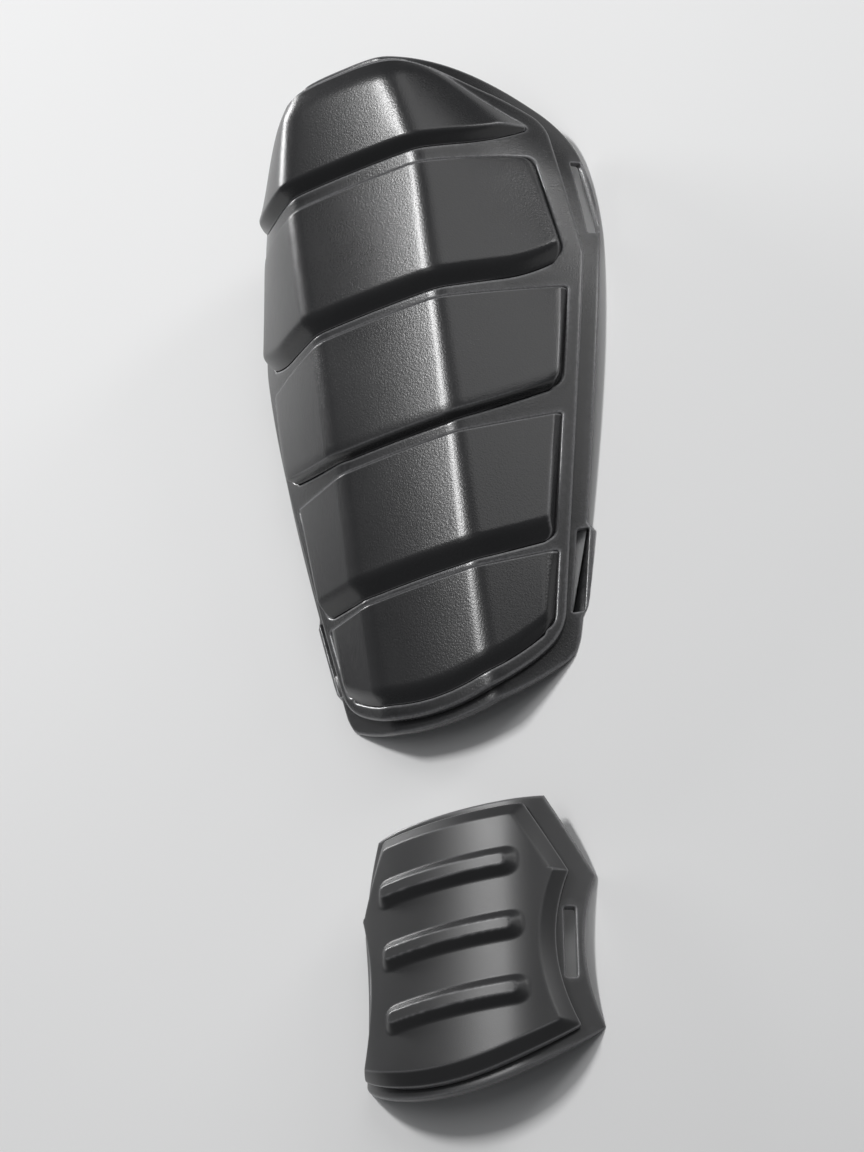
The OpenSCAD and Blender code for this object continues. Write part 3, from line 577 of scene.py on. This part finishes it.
def flat_solid(name, polys, rows, step, place, top_h, low_h, rings=()):
    """A solid over a flat outline, the first of polys, with holes, the others. Its heights come
    from functions of u, y and the distances to each outline."""
    flat, tris = triangles(fill(polys, rows, step, rings), polys)
    n = len(flat)
    u, y = flat[:, 0], flat[:, 1]
    gaps = [distance(flat, [p]) for p in polys]
    verts = np.concatenate([place(u, y, top_h(u, y, gaps)), place(u, y, low_h(u, y, gaps))])
    directed = {(int(t[k]), int(t[(k + 1) % 3])) for t in tris for k in range(3)}
    rim = [(p, q) for p, q in directed if (q, p) not in directed]
    faces = [tuple(map(int, t)) for t in tris]
    faces += [(int(t[2]) + n, int(t[1]) + n, int(t[0]) + n) for t in tris]
    faces += [(p + n, q + n, q, p) for p, q in sorted(rim)]
    return make_mesh(name, verts, faces, SHARP)


def grid_solid(name, flat, top, place):
    """A solid from the seat gap up to the top heights, over a grid of flat points."""
    nr, nc = flat.shape[:2]
    n = nr * nc
    u, y = flat[..., 0].ravel(), flat[..., 1].ravel()
    verts = np.concatenate([place(u, y, top.ravel()), place(u, y, np.full(n, SEAT_GAP))])
    ids = np.arange(n).reshape(nr, nc)
    a, b, c, d = ids[:-1, :-1], ids[:-1, 1:], ids[1:, 1:], ids[1:, :-1]
    quads = np.stack([a, b, c, d], -1).reshape(-1, 4)
    rim = np.concatenate([ids[0, :-1], ids[:-1, -1], ids[-1, :0:-1], ids[:0:-1, 0]])
    faces = quads.tolist() + (quads[:, ::-1] + n).tolist()
    faces += [[int(p) + n, int(q) + n, int(q), int(p)] for p, q in zip(rim, np.roll(rim, -1))]
    return make_mesh(name, verts, faces, SKIN_SHARP)


def room_for(rows):
    """The span that rows need at their full offsets."""
    offsets = [off for off, _ in rows]
    return ROW_ROOM + max(offsets) - min(offsets)


def patch(rows, low, high, side, cols, pinch=lambda off, share, span: 0.0):
    """Grid of [u, y]. A row (offset, share) lies at low + offset + share of the way to high; pinch
    is how far the side draws in there for a rounded corner. Where low and high come close, so do
    the rows."""
    out = []
    room = room_for(rows)
    for off, share in rows:

        def at(u):
            span = high(u) - low(u)
            return low(u) + off * np.minimum(1, span / room) + span * share

        w = GUESS_W
        for _ in range(PATCH_STEPS):
            w = 0.5 * w + 0.5 * (float(side(at(w))) - pinch(off, share, float(high(w) - low(w))))
        u = cols(float(at(w)), w)
        u = np.concatenate([-u[:0:-1], u])
        out.append(np.stack([u, at(u)], 1))
    return np.array(out)


def from_side(u):
    """How far each point of a grid lies from the end of its row."""
    return np.abs(u).max(1, keepdims=True) - np.abs(u)


# ---- the base shells ----------------------------------------------------------------------------
def screw_rings(places):
    """Rings of points that give the screws' recesses their edges."""
    turns = np.linspace(0, 2 * math.pi, RING_POINTS, endpoint=False)
    rings = []
    for u, y in places:
        for past in RECESS_RINGS:
            r = SCREW_HEAD_R + past
            rings.append(np.stack([u + r * np.cos(turns), y + r * np.sin(turns)], 1))
    return rings


def in_screws(u, y, places):
    hit = np.zeros(len(u), bool)
    for pu, py in places:
        hit |= np.hypot(u - pu, y - py) < SCREW_HEAD_R + RECESS_EDGE
    return hit


def lame_screw_y(i):
    if i == LAMES - 1:
        return (lame_foot(i) + WRIST_RUN + lame_top(i)) / 2
    return lame_top(i) - LAME_SCALE * LAME_PARTS[i] / 2


def frame_screw(i):
    """Where the frame's right screw beside a strip sits."""
    y = lame_foot(i) - STRIP_W[i] / 2
    flange = float(flange_at(y))
    flange += SLOT_FLANGE * float(smooth((y - SHOULDER_Y) / SLOT_FLANGE_RUN))
    return float(plain_side(y)) - flange - BORDER_W / 2, y


SIDES = (-1, 1)
screws = [(s * LAME_SCREW_U, lame_screw_y(i)) for i in range(LAMES) for s in SIDES]
for strip in range(LAMES - 1):
    screw_u, screw_y = frame_screw(strip)
    screws += [(s * screw_u, screw_y) for s in SIDES]
hand_screws = [(s * HAND_SCREW_U, t * HAND_SCREW_PITCH / 2) for s in SIDES for t in SIDES]


def to_floor(wrap):
    """The wrap, with what would reach below the floor drawn back along the shell to lie on it."""

    def place(u, y, h):
        for _ in range(FLOOR_STEPS):
            z = wrap(u, y, h)[:, 2]
            slope = (wrap(u * (1 + FLOOR_NUDGE), y, h)[:, 2] - z) / FLOOR_NUDGE
            u = np.where(z < 0, u * (1 - z / np.minimum(slope, FLOOR_SLOPE)), u)
        p = wrap(u, y, h)
        p[:, 2] = np.maximum(p[:, 2], 0)
        return p

    return place


def base_shell(name, outer, slots, places, step, wrap, wall, outer_r, inner_r):
    """A base shell with rounded edges, strap slots, and recesses for the screws' heads inside."""

    def top_h(u, y, gaps):
        return -edge_drop(gaps, outer_r, SLOT_ROUND)

    def low_h(u, y, gaps):
        rise = rounded(np.min(gaps, 0), inner_r)
        sunk = in_screws(u, y, places) * (SCREW_HEAD_H + RECESS_GAP)
        return -wall + np.maximum(rise, sunk)

    rows = [round_rows(outer_r)] + [round_rows(SLOT_ROUND)] * len(slots)
    place, rings = to_floor(wrap), screw_rings(places)
    return flat_solid(name, [outer, *slots], rows, step, place, top_h, low_h, rings)


def build_forearm_base():
    keys = [EAR[0], EAR[0] + EAR_SLOPE, EAR[1] - EAR_SLOPE, EAR[1]]
    outer = outline(base_low, base_high, base_side, COARSE_STEP, BASE_CORNER, keys=keys)
    outer = inset(round_top(outer, base_high, base_side, SHOULDER_ROUND), BASE_INSET)
    high_y, low_y = LENGTH - HIGH_SLOT_DROP - SLOT_LEN / 2, LOW_SLOT_Y + SLOT_LEN / 2
    high_u = float(plain_side(high_y)) - SLOT_LAND - SLOT_W / 2
    low_u = float(base_side(low_y)) - SLOT_LAND - SLOT_W / 2
    slots = []
    for s in SIDES:
        slots.append(slot_outline(s * high_u, high_y, SLOT_W, SLOT_LEN))
        slots.append(slot_outline(s * low_u, low_y, SLOT_W, SLOT_LEN, s * SIDE_TAPER))
    sizes = (BASE_WALL, BASE_ROUND, INNER_ROUND)
    return base_shell("forearm_base_shell", outer, slots, screws, BASE_GRID, on_forearm, *sizes)


def build_hand_base():
    outer = outline(hand_low, hand_high, hand_base_side, FINE_STEP, keys=[HAND_POINT_Y])
    outer = inset(outer, HAND_INSET)
    u = HAND_WAIST_W - HAND_SLOT_LAND - HAND_SLOT_W / 2
    slots = [slot_outline(s * u, HAND_WAIST_Y, HAND_SLOT_W, HAND_SLOT_LEN) for s in SIDES]
    sizes = (HAND_WALL, HAND_ROUND, HAND_INNER_ROUND)
    return base_shell("hand_base_shell", outer, slots, hand_screws, HAND_GRID, on_hand, *sizes)


# ---- the frame ----------------------------------------------------------------------------------
def lame_outline(i):
    edges = (lame_low(i), lame_high(i), lame_side(i))
    return outline(*edges, FINE_STEP, LOW_CORNERS[i], TOP_CORNERS[i])


def build_forearm_frame():
    outer = outline(frame_low, frame_high, frame_side, FINE_STEP, FRAME_LOW_CORNER)
    outer = round_top(outer, frame_high, frame_side, FRAME_CORNER)
    windows = [inset(lame_outline(i)[::-1], FIT_GAP * WINDOW_FIT) for i in range(LAMES)]

    def top_h(u, y, gaps):
        return FRAME_H - edge_drop(gaps, FRAME_ROUND, WINDOW_ROUND)

    def low_h(u, y, gaps):
        return SEAT_GAP + 0 * u

    rows = [round_rows(FRAME_ROUND)] + [round_rows(WINDOW_ROUND)] * LAMES
    polys = [outer, *windows]
    return flat_solid("forearm_frame_rim", polys, rows, FRAME_GRID, on_forearm, top_h, low_h)


# ---- the lames ----------------------------------------------------------------------------------
def lame_cols(y, w):
    """A row's columns from the middle to its end, close together near the end."""
    c = centre_at(y)
    e = c + CREASE_LEN
    parts = [
        np.linspace(0, c, CENTRE_COLS),
        np.linspace(c, e, CREASE_COLS)[1:],
        np.linspace(e, w - LAME_NEAR[0], SIDE_COLS)[1:],
        w - LAME_NEAR[1:],
    ]
    return np.concatenate(parts)


def lame_rows(i, run):
    """A lame's rows for patch, close together at its foot, its lip and its top."""
    starts = np.arange(LIP_ROW_START, run + LIP_ROW_PAST, LIP_ROW_STEP)
    starts = np.concatenate([FOOT_ROWS, starts])
    shares = np.linspace(0, 1, FACE_ROWS[i])[1:-1]
    rows = [(s, 0.0) for s in starts]
    rows += [(starts[-1] * (1 - f) - TOP_ROWS[0] * f, f) for f in shares]
    return rows + [(-e, 1.0) for e in TOP_ROWS]


def lame_pinch(i, rows):
    """How far a lame's side draws in at a row, for its rounded corners."""
    room = room_for(rows)
    low_r, top_r = LOW_CORNERS[i], TOP_CORNERS[i]

    def pinch(off, share, span):
        dl = off * min(1, span / room) + span * share
        a = np.clip(1 - dl / low_r, 0, 1)
        b = np.clip(1 - (span - dl) / top_r, 0, 1)
        return low_r * (1 - math.sqrt(1 - a * a)) + top_r * (1 - math.sqrt(1 - b * b))

    return pinch


def lame_height(i, run, u, dl, dh, ds):
    """A lame's outer face, dl above its foot, dh below its top and ds inside its end."""
    foot, end_foot = FRAME_H - LAME_SINK, FRAME_H - LAME_FOOT_DROP
    peak = FRAME_H + (WRIST_STEP if i == LAMES - 1 else LIP_H)
    top = FRAME_H + TOP_STEP
    crown, crown_run = top, 0.0
    if i == 0:
        fade = smooth((np.abs(u) - DOME_FADE) / DOME_FADE_RUN)
        crown = FRAME_H + DOME_H + (DOME_SIDE_H - DOME_H) * fade
        crown_run = DOME_RUN * (1 - DOME_SHORTER * fade)
    spread_over = np.maximum(dl + dh - run - crown_run, LEAST_WEDGE)
    wedge = peak + (crown - peak) * (dl - run) / spread_over
    wedge = wedge - LIP_FALLS[i] * np.clip(1 - (dl - FALL_START * run) / LIP_RUNS[i], 0, 1) ** 2
    wedge = wedge - END_FALLS[i] * np.clip(1 - ds / END_FALL_RUN, 0, 1) ** 2
    under = -soft_min(-foot - (peak - foot) * dl / run, -foot + 0 * dl, FOOT_SOFT)
    h = soft_min(wedge, under, LIP_SOFT)
    h = soft_min(h, end_foot + (wedge - end_foot) * ds / END_RUNS[i], END_SOFTS[i])
    if i == 0:
        dome = top - DOME_FOOT + (crown - top + DOME_FOOT) * dh / crown_run
        h = soft_min(h, dome, DOME_SOFT)
    h = soft_min(h, top - TOP_FOOT + TOP_SLOPE * dh, TOP_SOFT)
    return np.maximum(h, end_foot - END_SINK)


def build_lame(i, name):
    run = WRIST_LIP_RUN if i == LAMES - 1 else UNDER_RUN[i]
    low, high, rows = lame_low(i), lame_high(i), lame_rows(i, run)
    flat = patch(rows, low, high, lame_side(i), lame_cols, lame_pinch(i, rows))
    u, y = flat[..., 0], flat[..., 1]
    h = lame_height(i, run, u, y - low(u), high(u) - y, from_side(u))
    return grid_solid(name, flat, h, on_forearm)


# ---- the hand plate -----------------------------------------------------------------------------
def rib_rise(u, y):
    """How far the ribs stand above the plate. Their ends are rounded, between oval and square."""
    rise = np.zeros(u.shape)
    for k in range(RIB_COUNT):
        turn = k - (RIB_COUNT - 1) / 2
        v = y - turn * RIB_PITCH
        half = (RIB_LEN + RIB_LONGER - RIB_W) / 2
        past_u = np.maximum(np.abs(u + turn * RIB_STEP - RIB_SHIFT) - half, 0)
        past = (past_u**RIB_SQUARE + np.abs(v) ** RIB_SQUARE) ** (1 / RIB_SQUARE)
        far = np.maximum(past - RIB_W / 2, 0)
        one = soft_min(RIB_H * (1 - far / RIB_RUN), RIB_H + 0 * u, RIB_SOFT)
        one = -soft_min(-one, 0 * u, RIB_SOFT)
        rise = np.maximum(rise, np.where(far < RIB_RUN * RIB_REACH, one, 0))
    return rise


def plate_cols(y, w):
    return np.concatenate([np.linspace(0, w - PLATE_NEAR[0], PLATE_COLS), w - PLATE_NEAR[1:]])


def plate_rows():
    """The plate's rows for patch, one of which meets the points of its sides."""
    w = HAND_POINT_W - HAND_FLANGE
    share = float((HAND_POINT_Y - plate_low(w)) / (plate_high(w) - plate_low(w)))
    low_shares = np.linspace(0, share, PLATE_LOW_ROWS)[1:]
    top_shares = np.linspace(share, 1, PLATE_TOP_ROWS)[1:-1]
    rows = [(o, 0.0) for o in PLATE_NEAR[::-1]]
    rows += [(PLATE_NEAR[0] * (1 - f / share), float(f)) for f in low_shares]
    rows += [(-PLATE_NEAR[0] * (f - share) / (1 - share), float(f)) for f in top_shares]
    return rows + [(-o, 1.0) for o in PLATE_NEAR]


def build_hand_plate():
    flat = patch(plate_rows(), plate_low, plate_high, plate_side, plate_cols)
    u, y = flat[..., 0], flat[..., 1]
    ds = from_side(u) * np.where(y > HAND_POINT_Y, SLANT_ABOVE, SLANT_BELOW)
    d = soft_min(np.minimum(y - plate_low(u), plate_high(u) - y), ds, MITRE_SOFT)
    slope = PLATE_STEP + (PLATE_H - PLATE_STEP) * d / PLATE_BEVEL
    h = soft_min(slope, PLATE_H + 0 * u, PLATE_SOFT) - PLATE_FOOT_SHARE * rounded(d, PLATE_FOOT_R)
    return grid_solid("hand_plate_skin", flat, h + rib_rise(u, y), on_hand)


# ---- materials ----------------------------------------------------------------------------------
FOREARM_PLASTIC = {
    "dark": (0.013, 0.013, 0.0138),
    "light": (0.021, 0.021, 0.022),
    "grain": 1750.0,
    "depth": 0.000045,
    "satin": (0.22, 0.28),
}
HAND_PLASTIC = {
    "dark": (0.015, 0.015, 0.0158),
    "light": (0.024, 0.024, 0.025),
    "grain": 3200.0,
    "depth": 0.000015,
    "satin": (0.34, 0.42),
}
EDGE_HIGHLIGHT_POLISH_TONE, WORN_SATIN = (0.19, 0.19, 0.195), 0.8  # outer edges: the pale colour of a painted highlight, also standing for polish from handling, and the share of the roughness there
HIGHLIGHT_POLISH_BREAKS = (0.25, 0.45), (0.6, 1.0)  # how much of the painted edge highlight and polish is left, by the grain
GRAIN_DETAIL, GRAIN_ROUGH = 3.0, 0.55
PEBBLE_SCALE, PEBBLE_SMOOTH, PEBBLE_SHARE = 0.8, 0.6, -0.4  # of the grain's scale and height
DRIFT_SCALE, DRIFT_DETAIL = 22.0, 3.0
TONE_DRIFT, TONE_GRAIN, SATIN_SHARE = 0.7, 0.3, 0.5
PLASTIC_IOR, PLASTIC_BUMP = 1.5, 1.0
METAL_GRAIN, METAL_DETAIL, METAL_TONE, METAL_SATIN = 900.0, 3.0, (0.34, 0.5), (0.28, 0.42)
METAL_BUMP, METAL_DEPTH = 0.4, 0.00002
NOISE_SPAN = (0.3, 0.7)  # the part of a noise's range that a tone or a satin is spread over


def nodes_of(name):
    mat = bpy.data.materials.new(name)
    mat.use_nodes = True
    nt = mat.node_tree
    nt.nodes.clear()
    out = nt.nodes.new("ShaderNodeOutputMaterial")
    bsdf = nt.nodes.new("ShaderNodeBsdfPrincipled")
    nt.links.new(bsdf.outputs["BSDF"], out.inputs["Surface"])
    coord = nt.nodes.new("ShaderNodeTexCoord")
    return mat, nt, bsdf, coord


def noise(nt, coord, scale, detail=2.0, rough=0.5):
    n = nt.nodes.new("ShaderNodeTexNoise")
    n.inputs["Scale"].default_value = scale
    n.inputs["Detail"].default_value = detail
    n.inputs["Roughness"].default_value = rough
    nt.links.new(coord.outputs["Object"], n.inputs["Vector"])
    return n.outputs["Fac"]


def ramp(nt, fac, stops):
    """A ramp between two stops, each a position and a grey or a colour."""
    r = nt.nodes.new("ShaderNodeValToRGB")
    for e, (pos, value) in zip(r.color_ramp.elements, stops):
        e.position = pos
        e.color = (*value, 1) if hasattr(value, "__len__") else (value, value, value, 1)
    nt.links.new(fac, r.inputs["Fac"])
    return r.outputs["Color"]


def spread_noise(nt, fac, ends):
    return ramp(nt, fac, zip(NOISE_SPAN, ends))


def math_node(nt, op, a, b):
    m = nt.nodes.new("ShaderNodeMath")
    m.operation = op
    for k, v in enumerate((a, b)):
        if isinstance(v, (int, float)):
            m.inputs[k].default_value = v
        else:
            nt.links.new(v, m.inputs[k])
    return m.outputs[0]


def weighted(nt, a, a_share, b, b_share):
    a_part, b_part = math_node(nt, "MULTIPLY", a, a_share), math_node(nt, "MULTIPLY", b, b_share)
    return math_node(nt, "ADD", a_part, b_part)


def mixed(nt, fac, a, b):
    """The colour a, turned to the fixed colour b by fac."""
    m = nt.nodes.new("ShaderNodeMix")
    m.data_type = "RGBA"
    nt.links.new(fac, m.inputs[0])
    nt.links.new(a, m.inputs[6])  # the node's colour sockets are inputs 6 and 7 and output 2
    m.inputs[7].default_value = (*b, 1)
    return m.outputs[2]


def add_bump(nt, bsdf, height, strength, depth):
    bump = nt.nodes.new("ShaderNodeBump")
    bump.inputs["Strength"].default_value = strength
    bump.inputs["Distance"].default_value = depth
    nt.links.new(height, bump.inputs["Height"])
    nt.links.new(bump.outputs["Normal"], bsdf.inputs["Normal"])


def edge_highlight_polish_mask(nt, fine):
    """The mask of the painted edge highlight and of the polish from handling: on the outer edges,
    broken up by the grain.
    """
    edge = nt.nodes.new("ShaderNodeAttribute")
    edge.attribute_name = "edge_highlight_polish"
    return math_node(nt, "MULTIPLY", edge.outputs["Fac"], ramp(nt, fine, HIGHLIGHT_POLISH_BREAKS))


def moulded(name, dark, light, grain, depth, satin):
    """Charcoal moulded plastic: a pebbled grain, a slow drift of tone and a satin that varies a
    little. Outer edges are painted paler, a highlight that also stands for polish from handling,
    and are smoother."""
    mat, nt, bsdf, coord = nodes_of(name)
    fine = noise(nt, coord, grain, GRAIN_DETAIL, GRAIN_ROUGH)
    cells = nt.nodes.new("ShaderNodeTexVoronoi")
    cells.feature = "SMOOTH_F1"
    cells.inputs["Scale"].default_value = grain * PEBBLE_SCALE
    cells.inputs["Smoothness"].default_value = PEBBLE_SMOOTH
    nt.links.new(coord.outputs["Object"], cells.inputs["Vector"])
    slow = noise(nt, coord, DRIFT_SCALE, DRIFT_DETAIL)
    tone = weighted(nt, slow, TONE_DRIFT, fine, TONE_GRAIN)
    highlight_and_polish = edge_highlight_polish_mask(nt, fine)
    # paler outer edges: a painted highlight, also standing for polish from handling
    tone = mixed(nt, highlight_and_polish, spread_noise(nt, tone, (dark, light)), EDGE_HIGHLIGHT_POLISH_TONE)
    nt.links.new(tone, bsdf.inputs["Base Color"])
    rough = weighted(nt, fine, SATIN_SHARE, slow, SATIN_SHARE)
    rough = mixed(nt, highlight_and_polish, spread_noise(nt, rough, satin), [satin[0] * WORN_SATIN] * 3)
    nt.links.new(rough, bsdf.inputs["Roughness"])
    pebbles = math_node(nt, "MULTIPLY", cells.outputs["Distance"], PEBBLE_SHARE)
    add_bump(nt, bsdf, math_node(nt, "ADD", fine, pebbles), PLASTIC_BUMP, depth)
    bsdf.inputs["IOR"].default_value = PLASTIC_IOR
    return mat


def plated(name):
    """Zinc-plated steel of the screws, with a fine cloud."""
    mat, nt, bsdf, coord = nodes_of(name)
    cloud = noise(nt, coord, METAL_GRAIN, METAL_DETAIL)
    nt.links.new(spread_noise(nt, cloud, METAL_TONE), bsdf.inputs["Base Color"])
    nt.links.new(spread_noise(nt, cloud, METAL_SATIN), bsdf.inputs["Roughness"])
    bsdf.inputs["Metallic"].default_value = 1.0
    add_bump(nt, bsdf, cloud, METAL_BUMP, METAL_DEPTH)
    return mat


forearm_plastic = moulded("forearm_plastic", **FOREARM_PLASTIC)
hand_plastic = moulded("hand_plastic", **HAND_PLASTIC)
screw_metal = plated("screw_metal")


# ---- the pieces ---------------------------------------------------------------------------------
def dress(obj, mat, slot, *nodes):
    obj.data.materials.clear()
    obj.data.materials.append(mat)
    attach(obj, "root")
    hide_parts(*nodes)


dress(build_forearm_base(), forearm_plastic, "forearm_plastic", "forearm_base")
dress(build_forearm_frame(), forearm_plastic, "forearm_plastic", "forearm_frame")
for k, which in enumerate(("elbow", "upper", "middle", "lower", "wrist")):
    skin = build_lame(k, which + "_lame_skin")
    dress(skin, forearm_plastic, "forearm_plastic", which + "_lame")
dress(build_hand_base(), hand_plastic, "hand_plastic", "hand_base")
dress(build_hand_plate(), hand_plastic, "hand_plastic", "hand_plate")
for node in ("lame_screws", "frame_screws", "hand_screws"):
    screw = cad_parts[node]
    screw.data.materials.clear()
    screw.data.materials.append(screw_metal)

# ---- floor, light and camera, in metres ---------------------------------------------------------
FLOOR_HALF, FLOOR_Z = 4.0, -0.0002
PAPER_SCALE, PAPER_TONE, PAPER_ROUGH = 3.0, (0.75, 0.78), 0.9
WORLD_COLOUR, WORLD_STRENGTH = (0.95, 0.97, 1.0, 1), 0.15
LAMPS = [  # name, place, aim, size, power
    ("overhead", (-0.1, 0.0, 1.35), (0, 0.02, 0.02), (1.0, 0.4), 1.6),
    ("key", (-0.23, 0.53, 1.2), (0, 0.05, 0.03), (0.12, 0.36), 10.0),
    ("right_panel", (0.74, 0.68, 0.95), (0, 0.05, 0.03), (0.8, 0.7), 3.0),
    ("right_rim", (1.15, 0.65, 0.4), (0, 0.05, 0.03), (0.3, 0.5), 3.6),
    ("left_rim", (-1.05, 1.0, 0.22), (0, 0.08, 0.03), (0.5, 0.3), 9.0),
]

floor_mesh = bpy.data.meshes.new("floor")
corners = [(x * FLOOR_HALF, y * FLOOR_HALF, 0) for x, y in ((-1, -1), (1, -1), (1, 1), (-1, 1))]
floor_mesh.from_pydata(corners, [], [(0, 1, 2, 3)])
floor = bpy.data.objects.new("floor", floor_mesh)
floor.location.z = FLOOR_Z
bpy.context.scene.collection.objects.link(floor)
floor_mat, floor_nt, floor_bsdf, floor_coord = nodes_of("floor_paper")
floor_tone = spread_noise(floor_nt, noise(floor_nt, floor_coord, PAPER_SCALE), PAPER_TONE)
floor_nt.links.new(floor_tone, floor_bsdf.inputs["Base Color"])
floor_bsdf.inputs["Roughness"].default_value = PAPER_ROUGH
floor_mesh.materials.append(floor_mat)

world = bpy.data.worlds.new("studio")
world.use_nodes = True
world.node_tree.nodes["Background"].inputs["Color"].default_value = WORLD_COLOUR
world.node_tree.nodes["Background"].inputs["Strength"].default_value = WORLD_STRENGTH
bpy.context.scene.world = world


def area_light(name, at, aim, size, power):
    light = bpy.data.lights.new(name, "AREA")
    light.shape = "RECTANGLE"
    light.size, light.size_y = size
    light.energy = power
    obj = bpy.data.objects.new(name, light)
    obj.location = at
    obj.rotation_euler = (Vector(aim) - Vector(at)).to_track_quat("-Z", "Y").to_euler()
    bpy.context.scene.collection.objects.link(obj)


for lamp in LAMPS:
    area_light(*lamp)

# the camera of the photograph: its turns, its pixels to a millimetre at the target, and how far
# away it is in millimetres
AZ, EL, ROLL = math.radians(30.856), math.radians(28.831), math.radians(4.032)
SCALE, DISTANCE = 2.938, 1801.0
TARGET = Vector((-9.32 - ORIGIN_X, 64.741 - ORIGIN_Y, 0.0)) / MM
PHOTO_HEIGHT, SENSOR = 1152, 36.0
CLIP = (0.05, 20)
back = Vector((math.sin(AZ) * math.cos(EL), -math.sin(EL), math.cos(AZ) * math.cos(EL)))
up = (Vector((0, 1, 0)) - back * back.y).normalized()
right = up.cross(back)
cam_up = math.cos(ROLL) * up + math.sin(ROLL) * right
cam_right = math.cos(ROLL) * right - math.sin(ROLL) * up
camera_data = bpy.data.cameras.new("camera")
camera_data.sensor_fit = "AUTO"
camera_data.sensor_width = SENSOR
camera_data.lens = SENSOR * SCALE * DISTANCE / PHOTO_HEIGHT
camera_data.clip_start, camera_data.clip_end = CLIP
camera = bpy.data.objects.new("camera", camera_data)
place_at = TARGET + back * (DISTANCE / MM)
camera.matrix_world = Matrix(
    (
        (cam_right.x, cam_up.x, back.x, place_at.x),
        (cam_right.y, cam_up.y, back.y, place_at.y),
        (cam_right.z, cam_up.z, back.z, place_at.z),
        (0, 0, 0, 1),
    )
)
bpy.context.scene.collection.objects.link(camera)
bpy.context.scene.camera = camera
bpy.context.scene.view_settings.view_transform = "Standard"
